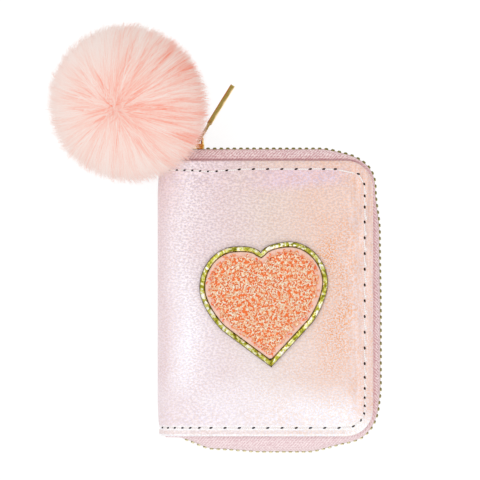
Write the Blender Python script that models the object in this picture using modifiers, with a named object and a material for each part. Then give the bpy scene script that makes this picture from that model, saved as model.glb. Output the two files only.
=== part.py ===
"""Small zip-around wallet with a heart patch, and a fur pom-pom hung from its slider.

The wallet lies on its back cover. +Z is its thickness, +Y runs up it and +X runs from the spine
to the opening edge. The origin is the centre of the back cover's underside, on the table.
Lengths are in metres, written as millimetres times MM.
"""
import math

import bmesh
import bpy
from mathutils import Matrix, Vector
from mathutils.geometry import interpolate_bezier

MM = 0.001

# Covers and spine
COVER_WIDTH = 86.4 * MM
COVER_HEIGHT = 110.4 * MM
THICKNESS = 24.0 * MM
CORNER_RADIUS = 11.0 * MM
SPINE_RADIUS = 7.0 * MM

# Layers of a cover, from its outer face inwards
SKIN = 0.9 * MM
FOAM = 1.0 * MM
BOARD = 1.0 * MM
TAPE = 0.5 * MM
LINING = 0.5 * MM
LAYER_GAP = 0.2 * MM
EDGE_GAP = 0.3 * MM
LINING_INSET = 1.0 * MM
SPINE_STIFFENER = 0.8 * MM

# Zip: the tape's bulge is measured from the cover's edge to the middle of the tape
TAPE_FLANGE = 5.0 * MM
TAPE_FLANGE_EDGE = 0.6 * MM
TAPE_END = 10.0 * MM
TAPE_TURN = 7.2 * MM
TAPE_STEP = 3.2 * MM
BULGE_TOP = 4.3 * MM
BULGE_TOP_CORNER = 1.3 * MM
BULGE_CORNER_EXIT = 0.6 * MM
BULGE_RIGHT = 2.7 * MM
BULGE_BOTTOM_CORNER = 1.5 * MM
BULGE_BOTTOM = 6.0 * MM
BULGE_BOTTOM_LEFT = 4.9 * MM
BULGE_TUCKED = 0.4 * MM
TAPE_TOP_INSET = 3.2 * MM
TAPE_BOTTOM_INSET = 3.2 * MM
CHAIN_TOP_INSET = 7.2 * MM
CHAIN_BOTTOM_INSET = 10.0 * MM
TOOTH_PITCH = 2.64 * MM
TOOTH_LENGTH = 1.0 * MM
TOOTH_REACH = 2.1 * MM
TOOTH_HALF_WIDTH = 1.2 * MM
BEAD_HALF_WIDTH = 0.6 * MM
BEAD_HEIGHT = 1.0 * MM

# Slider: a body on the chain, a divider between its plates and a bail over its outer plate
SLIDER_INSET = 18.7 * MM
SLIDER_LENGTH = 10.5 * MM
SLIDER_HALF_WIDE = 4.7 * MM
SLIDER_HALF_NARROW = 3.9 * MM
SLIDER_PLATE = 1.1 * MM
SLIDER_FLANGE = 1.0 * MM
DIVIDER_HALF = 1.0 * MM
DIVIDER_LENGTH = 4.2 * MM
CHAIN_SPREAD = 1.7 * MM
SPREAD_LENGTH = 3.2 * MM
BAIL_RADIUS = 0.6 * MM
BAIL_OPENING = 2.2 * MM
BAIL_INSET = 1.6 * MM

# Pull tab, seen edge-on in the resting pose
TAB_ANGLE = math.radians(58.3)
TAB_LENGTH = 26.4 * MM
TAB_BAR_START = 8.0 * MM
TAB_BAR_WIDTH = 7.0 * MM
TAB_BAR_THICKNESS = 1.9 * MM
TAB_NECK_WIDTH = 6.4 * MM
TAB_NECK_THICKNESS = 1.2 * MM
TAB_WINDOW_WIDTH = 3.8 * MM
TAB_WINDOW_END = 6.5 * MM
TAB_PIN_RADIUS = 0.6 * MM
TAB_PIN_OFFSET = 2.3 * MM

# Jump ring, strap and pom-pom. The fur is flattened by its own weight. Its edge reaches past the
# ring's pivot and lies on the wallet's corner, so it is cut free of the wallet and the slider.
RING_RADIUS = 4.0 * MM
RING_WIRE = 0.55 * MM
RING_OFFSET = 6.3 * MM
POM_DIRECTION = math.radians(147.848)
FUR_RADIUS = 31.0 * MM
FUR_HALF_HEIGHT = 26.0 * MM
FUR_LAP = 2.06 * MM
FUR_FLAT = 0.5 * MM
FUR_CLEARANCE = 0.8 * MM
CORE_RADIUS = 12.0 * MM
STRAP_WIDTH = 3.6 * MM
STRAP_THICKNESS = 1.4 * MM
STRAP_LOOP_WALL = 0.7 * MM
STRAP_LOOP_CLEARANCE = 0.45 * MM
STRAP_TUNNEL = 1.2 * MM
RING_RECESS = 0.8 * MM

# Heart patch on the front cover
HEART_X = -1.8 * MM
HEART_Y = 18.2 * MM
HEART_TURN = math.radians(5.27)
HEART_HALF_WIDTH = 25.6 * MM
HEART_FELT = 0.6 * MM
HEART_SEAT = 0.1 * MM
HEART_BORDER_WIDTH = 2.0 * MM
HEART_BORDER_HEIGHT = 1.2 * MM
HEART_MARGIN = 0.9 * MM
HEART_PAD_HEIGHT = 2.4 * MM
HEART_STEPS = 6

# Card file on the back cover and window pocket on the front cover
FILE_LEAVES = 4
FILE_PITCH = 2.0 * MM
FILE_SHEET = 0.5 * MM
FILE_LEFT = -36.0 * MM
FILE_RIGHT = 37.0 * MM
FILE_STEP = 3.0 * MM
FILE_HALF_HEIGHT = 46.0 * MM
FILE_CORNER = 3.0 * MM
GUSSET_SHEET = 0.3 * MM
GUSSET_FOLD = 2.6 * MM
POCKET_SHEET = 0.5 * MM
FILM_SHEET = 0.2 * MM
FILM_GAP = 0.15 * MM
POCKET_LEFT = -34.0 * MM
POCKET_RIGHT = 36.0 * MM
POCKET_HALF_HEIGHT = 44.0 * MM
WINDOW_FRAME = 8.0 * MM

# Worked out from the sizes above
HALF_WIDTH = COVER_WIDTH / 2
HALF_HEIGHT = COVER_HEIGHT / 2
HALF_THICKNESS = THICKNESS / 2
FOAM_DEPTH = SKIN + LAYER_GAP
BOARD_DEPTH = FOAM_DEPTH + FOAM + LAYER_GAP
RIM_DEPTH = BOARD_DEPTH + BOARD
TAPE_DEPTH = RIM_DEPTH + LAYER_GAP
LINING_DEPTH = TAPE_DEPTH + TAPE + LAYER_GAP
INNER_DEPTH = LINING_DEPTH + LINING
ARC_CENTRE_X = -HALF_WIDTH + SPINE_RADIUS
FOLD_INSET = SPINE_RADIUS * (1 - math.sqrt(0.5))
FOLD_X = -HALF_WIDTH + FOLD_INSET
BEAD_DEPTH = TAPE_END + EDGE_GAP
CHAIN_Y = HALF_HEIGHT + BULGE_TOP
TAPE_TOP_START = -HALF_WIDTH + TAPE_TOP_INSET
TAPE_BOTTOM_END = -HALF_WIDTH + TAPE_BOTTOM_INSET
CHAIN_TOP_START = -HALF_WIDTH + CHAIN_TOP_INSET
CHAIN_BOTTOM_END = -HALF_WIDTH + CHAIN_BOTTOM_INSET
SLIDER_RIGHT = -HALF_WIDTH + SLIDER_INSET
SLIDER_LEFT = SLIDER_RIGHT - SLIDER_LENGTH
SLIDER_CHANNEL_HALF = TOOTH_HALF_WIDTH + EDGE_GAP
SLIDER_TOP = CHAIN_Y + SLIDER_CHANNEL_HALF + SLIDER_PLATE
SLIDER_SLOT_HALF = TAPE / 2 + EDGE_GAP
DIVIDER_TIP_X = SLIDER_LEFT + 0.4 * MM + DIVIDER_LENGTH
SPREAD_START = DIVIDER_TIP_X + 0.5 * SPREAD_LENGTH + 0.3 * MM
PIVOT_Y = SLIDER_TOP + BAIL_OPENING / 2
TAB_PIVOT = Vector((SLIDER_RIGHT - TAB_PIN_OFFSET, PIVOT_Y, HALF_THICKNESS))
RING_PIVOT = Vector((SLIDER_RIGHT - RING_OFFSET, PIVOT_Y, HALF_THICKNESS))
RING_OUT = Vector((math.cos(POM_DIRECTION), math.sin(POM_DIRECTION), 0))
POM_CENTRE = RING_PIVOT + RING_OUT * (FUR_RADIUS - FUR_LAP)
POM_CENTRE.z = FUR_HALF_HEIGHT - FUR_FLAT
RING_CENTRE = RING_PIVOT + RING_OUT * RING_RADIUS
STRAP_OUT = (POM_CENTRE - RING_CENTRE).normalized()
STRAP_SIDE = Vector((-RING_OUT.y, RING_OUT.x, 0))
HEART_BASE = THICKNESS + HEART_SEAT
LEAF_LOW = INNER_DEPTH + LAYER_GAP + 0.1 * MM

PINK_SKIN = (0.86, 0.55, 0.56)
ROSE_TAPE = (0.62, 0.30, 0.33)
GOLD = (0.83, 0.58, 0.24)
PALE_PINK = (0.93, 0.62, 0.60)
PEACH = (0.95, 0.48, 0.33)

MATERIALS = {
    "skin": (PINK_SKIN, 0.32, 0.25),
    "foam": ((0.80, 0.78, 0.74), 0.9, 0.0),
    "board": ((0.55, 0.45, 0.33), 0.85, 0.0),
    "tape": (ROSE_TAPE, 0.8, 0.0),
    "gold": (GOLD, 0.25, 1.0),
    "lining": ((0.55, 0.27, 0.30), 0.75, 0.0),
    "file": ((0.78, 0.47, 0.49), 0.5, 0.0),
    "film": ((0.88, 0.90, 0.92), 0.12, 0.0),
    "felt": (PALE_PINK, 0.9, 0.0),
    "glitter": ((0.80, 0.56, 0.22), 0.45, 0.6),
    "chenille": (PEACH, 0.95, 0.0),
    "fur": (PALE_PINK, 0.9, 0.0),
    "core": ((0.72, 0.34, 0.34), 0.9, 0.0),
}


def clear_scene():
    """Start from an empty scene with one collection for the pieces and one for the cutters."""
    for old in list(bpy.data.objects):
        bpy.data.objects.remove(old, do_unlink=True)
    for name in ("wallet", "cutters"):
        collection = bpy.data.collections.get(name) or bpy.data.collections.new(name)
        if name not in bpy.context.scene.collection.children:
            bpy.context.scene.collection.children.link(collection)


def material(name):
    """A Principled material, made once and then shared."""
    found = bpy.data.materials.get(name)
    if found:
        return found
    colour, roughness, metallic = MATERIALS[name]
    made = bpy.data.materials.new(name)
    made.use_nodes = True
    shader = made.node_tree.nodes["Principled BSDF"]
    shader.inputs["Base Color"].default_value = (*colour, 1.0)
    shader.inputs["Roughness"].default_value = roughness
    shader.inputs["Metallic"].default_value = metallic
    made.diffuse_color = (*colour, 1.0)
    return made


def add_object(name, data, finish=None):
    """Link new data as a piece, or as a cutter when it has no finish."""
    piece = bpy.data.objects.new(name, data)
    if finish:
        bpy.data.collections["wallet"].objects.link(piece)
        data.materials.append(material(finish))
    else:
        bpy.data.collections["cutters"].objects.link(piece)
        piece.hide_render = True
        piece.display_type = "WIRE"
    return piece


def from_bmesh(name, shape, finish=None, smooth_angle=None):
    """Turn a bmesh into an object with its faces pointing out."""
    bmesh.ops.recalc_face_normals(shape, faces=shape.faces)
    data = bpy.data.meshes.new(name)
    shape.to_mesh(data)
    shape.free()
    if smooth_angle is not None:
        data.shade_smooth()
        data.set_sharp_from_angle(angle=smooth_angle)
    return add_object(name, data, finish)


def curve_to_mesh(name, source, finish=None, smooth_angle=None):
    """Replace a curve object by a welded mesh object in the same place."""
    bpy.context.view_layer.update()
    evaluated = source.evaluated_get(bpy.context.evaluated_depsgraph_get())
    data = bpy.data.meshes.new_from_object(evaluated)
    place = source.matrix_world.copy()
    bpy.data.objects.remove(source, do_unlink=True)
    data.materials.clear()
    shape = bmesh.new()
    shape.from_mesh(data)
    bpy.data.meshes.remove(data)
    bmesh.ops.remove_doubles(shape, verts=shape.verts, dist=0.001 * MM)
    made = from_bmesh(name, shape, finish, smooth_angle)
    made.matrix_world = place
    return made


def frame_at(origin, x_axis, y_axis):
    """A placement whose local X and Y run along two given directions."""
    z_axis = x_axis.cross(y_axis)
    turn = Matrix((x_axis, y_axis, z_axis)).transposed().to_4x4()
    return Matrix.Translation(origin) @ turn


PLAN = Matrix.Identity(4)
SIDE = frame_at(Vector((0, 0, 0)), Vector((1, 0, 0)), Vector((0, 0, 1)))


def prism(name, outlines, low, high, finish=None, place=PLAN, smooth_angle=None):
    """Extrude flat outlines, the first one outer and the rest holes, from low to high.

    In PLAN the outline is in X and Y and it rises in Z. In SIDE it is in X and Z, and low and high
    are distances along -Y.
    """
    data = bpy.data.curves.new(name, "CURVE")
    data.dimensions = "2D"
    data.fill_mode = "BOTH"
    data.extrude = (high - low) / 2
    for outline in outlines:
        spline = data.splines.new("POLY")
        spline.points.add(len(outline) - 1)
        for point, (across, up) in zip(spline.points, outline):
            point.co = (across, up, 0, 1)
        spline.use_cyclic_u = True
    source = bpy.data.objects.new(name, data)
    bpy.context.scene.collection.objects.link(source)
    source.matrix_world = place @ Matrix.Translation((0, 0, (low + high) / 2))
    return curve_to_mesh(name, source, finish, smooth_angle)


def box(name, low, high, finish=None):
    """A cuboid from its lowest corner to its highest."""
    shape = bmesh.new()
    bmesh.ops.create_cube(shape, size=1)
    size = Vector(high) - Vector(low)
    bmesh.ops.scale(shape, vec=size, verts=shape.verts)
    bmesh.ops.translate(shape, vec=(Vector(low) + Vector(high)) / 2, verts=shape.verts)
    return from_bmesh(name, shape, finish)


def ball(name, centre, radius, finish=None, segments=16, flatness=1):
    """A sphere, smooth shaded. Flatness is its height as a share of its width."""
    shape = bmesh.new()
    bmesh.ops.create_uvsphere(shape, u_segments=segments, v_segments=segments // 2, radius=radius)
    bmesh.ops.scale(shape, vec=(1, 1, flatness), verts=shape.verts)
    made = from_bmesh(name, shape, finish, math.radians(60))
    made.location = centre
    return made


def rod(name, start, end, radius, finish=None, segments=16):
    """A cylinder between two points."""
    shape = bmesh.new()
    length = (end - start).length
    bmesh.ops.create_cone(
        shape, cap_ends=True, segments=segments, radius1=radius, radius2=radius, depth=length)
    made = from_bmesh(name, shape, finish, math.radians(60))
    made.rotation_euler = (end - start).to_track_quat("Z", "Y").to_euler()
    made.location = (start + end) / 2
    return made


def combine(piece, other, operation="DIFFERENCE"):
    """Cut a piece by another object, or join that object to it."""
    other.hide_render = True
    other.display_type = "WIRE"
    boolean = piece.modifiers.new(operation.title() + " " + other.name, "BOOLEAN")
    boolean.operation = operation
    boolean.solver = "EXACT"
    boolean.object = other
    return piece


def joint_axis(name, point, parent=None):
    """An empty on a joint's axis, which carries what the joint moves."""
    axis = bpy.data.objects.new(name, None)
    axis.empty_display_size = 5 * MM
    bpy.data.collections["wallet"].objects.link(axis)
    axis.location = point
    if parent:
        carry(parent, [axis])
    return axis


def carry(axis, pieces):
    """Parent pieces to a joint's empty and leave them where they are."""
    bpy.context.view_layer.update()
    for piece in pieces:
        piece.parent = axis
        piece.matrix_parent_inverse = axis.matrix_world.inverted()


def level(depth, front):
    """Height of a layer whose depth is counted from the outer face of a cover."""
    return THICKNESS - depth if front else depth


def arc(centre_x, centre_y, radius, start, end, steps):
    """Points on an arc, both ends included, angles in degrees."""
    points = []
    for step in range(steps + 1):
        angle = math.radians(start + (end - start) * step / steps)
        points.append((centre_x + radius * math.cos(angle), centre_y + radius * math.sin(angle)))
    return points


def cover_outline(inset, left):
    """A cover seen from the front: square at the spine, round at the opening corners."""
    top = HALF_HEIGHT - inset
    corner_x = HALF_WIDTH - CORNER_RADIUS
    corner_y = HALF_HEIGHT - CORNER_RADIUS
    radius = CORNER_RADIUS - inset
    points = [(left, -top)]
    points += arc(corner_x, -corner_y, radius, -90, 0, 10)
    points += arc(corner_x, corner_y, radius, 0, 90, 10)
    points.append((left, top))
    return points


def rounded_rectangle(left, right, low, high, radius, steps=4):
    """A rectangle with four round corners."""
    points = arc(right - radius, low + radius, radius, -90, 0, steps)
    points += arc(right - radius, high - radius, radius, 0, 90, steps)
    points += arc(left + radius, high - radius, radius, 90, 180, steps)
    points += arc(left + radius, low + radius, radius, 180, 270, steps)
    return points


def plate(name, front, depth, thickness, outlines, finish):
    """One flat layer of a cover."""
    low, high = sorted((level(depth, front), level(depth + thickness, front)))
    return prism(name, outlines, low, high, finish)


def skin_tray(name, front):
    """Outer skin of a cover: a plate with a turned rim, curling into the spine as far as the fold.

    It is the rounded side profile, trimmed to the cover's plan, and then hollowed the same way.
    """
    fold_gap = EDGE_GAP / 2 * math.sqrt(2)
    outer = [(HALF_WIDTH, 0)]
    outer += arc(ARC_CENTRE_X, SPINE_RADIUS, SPINE_RADIUS, 270, 227, 8)
    last_x, last_z = outer[-1]
    outer += [(last_x + RIM_DEPTH - last_z, RIM_DEPTH), (HALF_WIDTH, RIM_DEPTH)]
    inner_radius = SPINE_RADIUS - SKIN
    beyond = 2 * RIM_DEPTH
    inner = [(HALF_WIDTH + beyond, SKIN)]
    inner += arc(ARC_CENTRE_X, SPINE_RADIUS, inner_radius, 270, 200, 12)
    inner += [(-HALF_WIDTH - beyond, beyond), (HALF_WIDTH + beyond, beyond)]
    if front:
        outer = [(x, THICKNESS - z) for x, z in outer]
        inner = [(x, THICKNESS - z) for x, z in inner]
    reach = HALF_HEIGHT + fold_gap
    tray = prism(name, [outer], -reach, reach, "skin", SIDE, math.radians(30))
    low, high = sorted((level(-beyond, front), level(beyond, front)))
    plan = prism(name + "_plan", [cover_outline(0, -HALF_WIDTH - beyond)], low, high)
    hollow = prism(name + "_hollow", [inner], -reach, reach, None, SIDE)
    hollow_plan = prism(
        name + "_hollow_plan", [cover_outline(SKIN, -HALF_WIDTH - 2 * beyond)],
        low - beyond, high + beyond)
    combine(hollow, hollow_plan, "INTERSECT")
    combine(tray, plan, "INTERSECT")
    return combine(tray, hollow)


def spine_skin():
    """The skin between the two folds, bent round both spine edges."""
    inner_radius = SPINE_RADIUS - SKIN
    low_z = SPINE_RADIUS
    high_z = THICKNESS - SPINE_RADIUS
    outline = arc(ARC_CENTRE_X, low_z, SPINE_RADIUS, 223, 180, 8)
    outline += arc(ARC_CENTRE_X, high_z, SPINE_RADIUS, 180, 137, 8)
    outline += arc(ARC_CENTRE_X, high_z, inner_radius, 137, 180, 8)
    outline += arc(ARC_CENTRE_X, low_z, inner_radius, 180, 223, 8)
    return prism(
        "spine_skin", [outline], -HALF_HEIGHT, HALF_HEIGHT, "skin", SIDE, math.radians(30))


def smooth_step(share):
    """Ease from 0 to 1."""
    share = min(max(share, 0), 1)
    return share * share * (3 - 2 * share)


TOP_RUN = HALF_WIDTH - CORNER_RADIUS - TAPE_TOP_START
CORNER_RUN = CORNER_RADIUS * math.pi / 2
RIGHT_RUN = COVER_HEIGHT - 2 * CORNER_RADIUS
BOTTOM_RUN = HALF_WIDTH - CORNER_RADIUS - TAPE_BOTTOM_END
EDGE_RUN = TOP_RUN + 2 * CORNER_RUN + RIGHT_RUN + BOTTOM_RUN


def edge_at(run):
    """Point and outward direction at a distance along the zip edge, from the top of the spine."""
    corner_x = HALF_WIDTH - CORNER_RADIUS
    corner_y = HALF_HEIGHT - CORNER_RADIUS
    if run < TOP_RUN:
        return Vector((TAPE_TOP_START + run, HALF_HEIGHT)), Vector((0, 1))
    run -= TOP_RUN
    if run < CORNER_RUN:
        angle = math.pi / 2 - run / CORNER_RADIUS
        out = Vector((math.cos(angle), math.sin(angle)))
        return Vector((corner_x, corner_y)) + CORNER_RADIUS * out, out
    run -= CORNER_RUN
    if run < RIGHT_RUN:
        return Vector((HALF_WIDTH, corner_y - run)), Vector((1, 0))
    run -= RIGHT_RUN
    if run < CORNER_RUN:
        angle = -run / CORNER_RADIUS
        out = Vector((math.cos(angle), math.sin(angle)))
        return Vector((corner_x, -corner_y)) + CORNER_RADIUS * out, out
    run -= CORNER_RUN
    return Vector((corner_x - run, -HALF_HEIGHT)), Vector((0, -1))


def bulge_at(run):
    """How far the tape stands out from the cover's edge at a distance along it."""
    right_start = TOP_RUN + CORNER_RUN
    bottom_corner = right_start + RIGHT_RUN
    bottom_start = bottom_corner + CORNER_RUN
    corner_x = HALF_WIDTH - CORNER_RADIUS
    knots = (
        (0, BULGE_TUCKED),
        (SLIDER_LEFT - 1.0 * MM - TAPE_TOP_START, BULGE_TOP),
        (TOP_RUN - 10.0 * MM, BULGE_TOP),
        (TOP_RUN + 0.4 * CORNER_RUN, BULGE_TOP_CORNER),
        (right_start, BULGE_CORNER_EXIT),
        (right_start + 0.2 * RIGHT_RUN, 0.85 * BULGE_RIGHT),
        (right_start + 0.6 * RIGHT_RUN, BULGE_RIGHT),
        (right_start + 0.9 * RIGHT_RUN, BULGE_RIGHT),
        (bottom_corner + 0.25 * CORNER_RUN, BULGE_BOTTOM_CORNER),
        (bottom_corner + 0.75 * CORNER_RUN, 1.4 * BULGE_BOTTOM_CORNER),
        (bottom_start + corner_x * 0.5, BULGE_BOTTOM),
        (bottom_start + corner_x, BULGE_BOTTOM),
        (EDGE_RUN - 20.0 * MM, BULGE_BOTTOM_LEFT),
        (EDGE_RUN - 4.5 * MM, BULGE_TUCKED),
        (EDGE_RUN, BULGE_TUCKED),
    )
    for (start, low), (end, high) in zip(knots, knots[1:]):
        if run <= end:
            return low + (high - low) * smooth_step((run - start) / (end - start))
    return knots[-1][1]


def spread_at(x, y):
    """How far each half of the chain is pushed aside by the divider, near the slider."""
    if y < 0:
        return 0
    return CHAIN_SPREAD * smooth_step((SPREAD_START - x) / SPREAD_LENGTH)


def zip_tape(name, front):
    """Woven tape of one half: sewn flange, then a curl out past the cover's edge to the chain."""
    stations = []
    count = round(EDGE_RUN / TAPE_STEP)
    for index in range(count + 1):
        stations.append(EDGE_RUN * index / count)
    middle = TAPE_DEPTH + TAPE / 2
    shape = bmesh.new()
    rows = []
    for run in stations:
        point, out = edge_at(run)
        bulge = bulge_at(run)
        middle_line = point + bulge * out
        end = TAPE_END - spread_at(middle_line.x, middle_line.y)
        profile = (
            (-TAPE_FLANGE, middle),
            (-TAPE_FLANGE_EDGE, middle),
            (0.55 * bulge, middle + 0.55 * MM),
            (0.9 * bulge, middle + 1.95 * MM),
            (bulge, TAPE_TURN),
            (bulge, end),
        )
        row = []
        for offset, depth in profile:
            at = point + offset * out
            row.append(shape.verts.new((at.x, at.y, level(depth, front))))
        rows.append(row)
    for first, second in zip(rows, rows[1:]):
        for index in range(len(first) - 1):
            shape.faces.new((first[index], first[index + 1], second[index + 1], second[index]))
    tape = from_bmesh(name, shape, "tape", math.radians(40))
    shell = tape.modifiers.new("Tape thickness", "SOLIDIFY")
    shell.thickness = TAPE
    shell.offset = 0
    shell.use_even_offset = True
    return tape


def chain_line():
    """The chain's middle line in plan, finely sampled, with the length up to each point."""
    line = []
    total = 0
    count = 1600
    for index in range(count + 1):
        run = EDGE_RUN * index / count
        point, out = edge_at(run)
        at = point + bulge_at(run) * out
        if at.y > 0 and at.x < CHAIN_TOP_START:
            continue
        if at.y < 0 and at.x < CHAIN_BOTTOM_END:
            break
        if line:
            total += (at - line[-1][1]).length
        line.append((total, at))
    return line


def chain_at(line, length):
    """Point and outward direction on the chain's middle line."""
    low = 0
    high = len(line) - 1
    while high - low > 1:
        middle = (low + high) // 2
        if line[middle][0] <= length:
            low = middle
        else:
            high = middle
    start, first = line[low]
    end, second = line[high]
    share = (length - start) / (end - start)
    before = line[max(low - 4, 0)][1]
    after = line[min(high + 4, len(line) - 1)][1]
    along = (after - before).normalized()
    return first.lerp(second, share), Vector((-along.y, along.x))


def zip_teeth(name, front, phase):
    """One half of the chain: a bead along the tape's edge with a metal tooth at every pitch.

    It is one loft whose section steps out from bead to tooth and back. The other half's teeth sit
    half a pitch further on, so the two rows mesh.
    """
    line = chain_line()
    total = line[-1][0]
    sections = [(0, False)]
    count = int((total - TOOTH_LENGTH) / TOOTH_PITCH)
    for index in range(count):
        middle = (index + phase) * TOOTH_PITCH
        start = middle - TOOTH_LENGTH / 2
        end = middle + TOOTH_LENGTH / 2
        sections += [(start, False), (start, True), (end, True), (end, False)]
    sections.append((total, False))
    shape = bmesh.new()
    rings = []
    for length, is_tooth in sections:
        at, out = chain_at(line, length)
        spread = spread_at(at.x, at.y)
        half = TOOTH_HALF_WIDTH if is_tooth else BEAD_HALF_WIDTH
        reach = TOOTH_REACH if is_tooth else BEAD_HEIGHT
        near = level(BEAD_DEPTH - spread, front)
        far = level(BEAD_DEPTH + reach - spread, front)
        ring = []
        for offset, height in ((-half, near), (half, near), (half, far), (-half, far)):
            corner = at + offset * out
            ring.append(shape.verts.new((corner.x, corner.y, height)))
        rings.append(ring)
    for first, second in zip(rings, rings[1:]):
        for index in range(4):
            after = (index + 1) % 4
            shape.faces.new((first[index], first[after], second[after], second[index]))
    shape.faces.new(rings[0])
    shape.faces.new(rings[-1])
    return from_bmesh(name, shape, "gold")


def slider_outline(inset, overrun):
    """The slider's plan, along the chain and across it: wide over the divider, then waisted."""
    wide = SLIDER_HALF_WIDE - inset
    narrow = SLIDER_HALF_NARROW - inset
    left = SLIDER_LEFT - overrun
    right = SLIDER_RIGHT + overrun
    shoulder = SLIDER_LEFT + 0.45 * SLIDER_LENGTH
    waist = SLIDER_LEFT + 0.75 * SLIDER_LENGTH
    corner = 0 if overrun else 1.2 * MM
    half = [
        (left, wide - corner),
        (left + corner, wide),
        (shoulder, wide),
        (waist, narrow),
        (right - corner / 2, narrow),
        (right, narrow - corner / 2),
    ]
    points = [(x, HALF_THICKNESS + across) for x, across in half]
    points += [(x, HALF_THICKNESS - across) for x, across in reversed(half)]
    return points


def zip_slider():
    """Slider body: a block round the chain, hollowed, slotted for the tapes, with its divider."""
    bottom = CHAIN_Y - SLIDER_CHANNEL_HALF - SLIDER_PLATE
    body = prism(
        "zip_slider", [slider_outline(0, 0)], -SLIDER_TOP, -bottom, "gold", SIDE,
        math.radians(30))
    channel = prism(
        "slider_channel", [slider_outline(SLIDER_FLANGE, SLIDER_LENGTH)],
        -CHAIN_Y - SLIDER_CHANNEL_HALF, -CHAIN_Y + SLIDER_CHANNEL_HALF, None, SIDE)
    slot = box(
        "slider_slot",
        (SLIDER_LEFT - SLIDER_LENGTH, CHAIN_Y - SLIDER_SLOT_HALF, 0),
        (SLIDER_RIGHT + SLIDER_LENGTH, CHAIN_Y + SLIDER_SLOT_HALF, THICKNESS))
    divider_left = DIVIDER_TIP_X - DIVIDER_LENGTH
    divider_outline = [
        (divider_left, HALF_THICKNESS - DIVIDER_HALF),
        (DIVIDER_TIP_X - 0.5 * DIVIDER_LENGTH, HALF_THICKNESS - DIVIDER_HALF),
        (DIVIDER_TIP_X, HALF_THICKNESS),
        (DIVIDER_TIP_X - 0.5 * DIVIDER_LENGTH, HALF_THICKNESS + DIVIDER_HALF),
        (divider_left, HALF_THICKNESS + DIVIDER_HALF),
    ]
    grip = SLIDER_CHANNEL_HALF + SLIDER_PLATE / 2
    divider = prism(
        "slider_divider", [divider_outline], -CHAIN_Y - grip, -CHAIN_Y + grip, None, SIDE)
    combine(body, channel)
    combine(body, slot)
    combine(body, divider, "UNION")
    return combine(body, slider_bail(), "UNION")


def slider_bail():
    """The wire arch over the slider's outer plate that holds the pull tab and the ring."""
    data = bpy.data.curves.new("slider_bail", "CURVE")
    data.dimensions = "3D"
    data.bevel_depth = BAIL_RADIUS
    data.bevel_resolution = 2
    data.use_fill_caps = True
    foot = SLIDER_TOP - SLIDER_PLATE / 2
    crest = SLIDER_TOP + BAIL_OPENING + BAIL_RADIUS
    left = SLIDER_LEFT + BAIL_INSET
    right = SLIDER_RIGHT - BAIL_INSET / 2
    bend = 1.2 * MM
    path = [(left, foot)]
    path += arc(left + bend, crest - bend, bend, 180, 90, 5)
    path += arc(right - bend, crest - bend, bend, 90, 0, 5)
    path.append((right, foot))
    spline = data.splines.new("POLY")
    spline.points.add(len(path) - 1)
    for point, (x, y) in zip(spline.points, path):
        point.co = (x, y, HALF_THICKNESS, 1)
    source = bpy.data.objects.new("slider_bail", data)
    bpy.context.scene.collection.objects.link(source)
    return curve_to_mesh("slider_bail", source)


def pull_tab():
    """Pull tab: a windowed neck whose pin lies under the bail, and a thicker bar to hold."""
    along = Vector((math.cos(TAB_ANGLE), math.sin(TAB_ANGLE), 0))
    place = frame_at(TAB_PIVOT, along, Vector((0, 0, 1)))
    neck_half = TAB_NECK_WIDTH / 2
    bar_half = TAB_BAR_WIDTH / 2
    window_half = TAB_WINDOW_WIDTH / 2
    neck_outline = rounded_rectangle(
        -TAB_PIN_RADIUS, TAB_BAR_START + 2 * MM, -neck_half, neck_half, 0.5 * MM, 2)
    window = rounded_rectangle(
        TAB_PIN_RADIUS, TAB_WINDOW_END, -window_half, window_half, 0.5 * MM, 2)
    bar_outline = rounded_rectangle(
        TAB_BAR_START, TAB_LENGTH, -bar_half, bar_half, 1.6 * MM, 4)
    tab = prism(
        "pull_tab", [bar_outline], -TAB_BAR_THICKNESS / 2, TAB_BAR_THICKNESS / 2, "gold",
        place, math.radians(30))
    soften = tab.modifiers.new("Worn edges", "BEVEL")
    soften.width = 0.35 * MM
    soften.segments = 2
    soften.limit_method = "ANGLE"
    soften.angle_limit = math.radians(60)
    neck = prism(
        "tab_neck", [neck_outline, window], -TAB_NECK_THICKNESS / 2, TAB_NECK_THICKNESS / 2,
        None, place)
    half_pin = Vector((0, 0, neck_half - 0.3 * MM))
    pin = rod("tab_pin", TAB_PIVOT - half_pin, TAB_PIVOT + half_pin, TAB_PIN_RADIUS)
    combine(tab, neck, "UNION")
    return combine(tab, pin, "UNION")


def jump_ring():
    """Wire ring through the bail, standing upright and pointing at the pom-pom."""
    bpy.ops.mesh.primitive_torus_add(
        major_radius=RING_RADIUS, minor_radius=RING_WIRE, major_segments=28, minor_segments=6)
    ring = bpy.context.object
    ring.name = "jump_ring"
    ring.data.name = "jump_ring"
    for collection in list(ring.users_collection):
        collection.objects.unlink(ring)
    bpy.data.collections["wallet"].objects.link(ring)
    ring.data.materials.append(material("gold"))
    ring.data.shade_smooth()
    ring.matrix_world = frame_at(RING_CENTRE, RING_OUT, Vector((0, 0, 1)))
    return ring


def strap_place():
    """Placement of the strap: X along it, Y across its thickness and Z along the ring's wire."""
    return frame_at(RING_CENTRE, STRAP_OUT, STRAP_SIDE)


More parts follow.
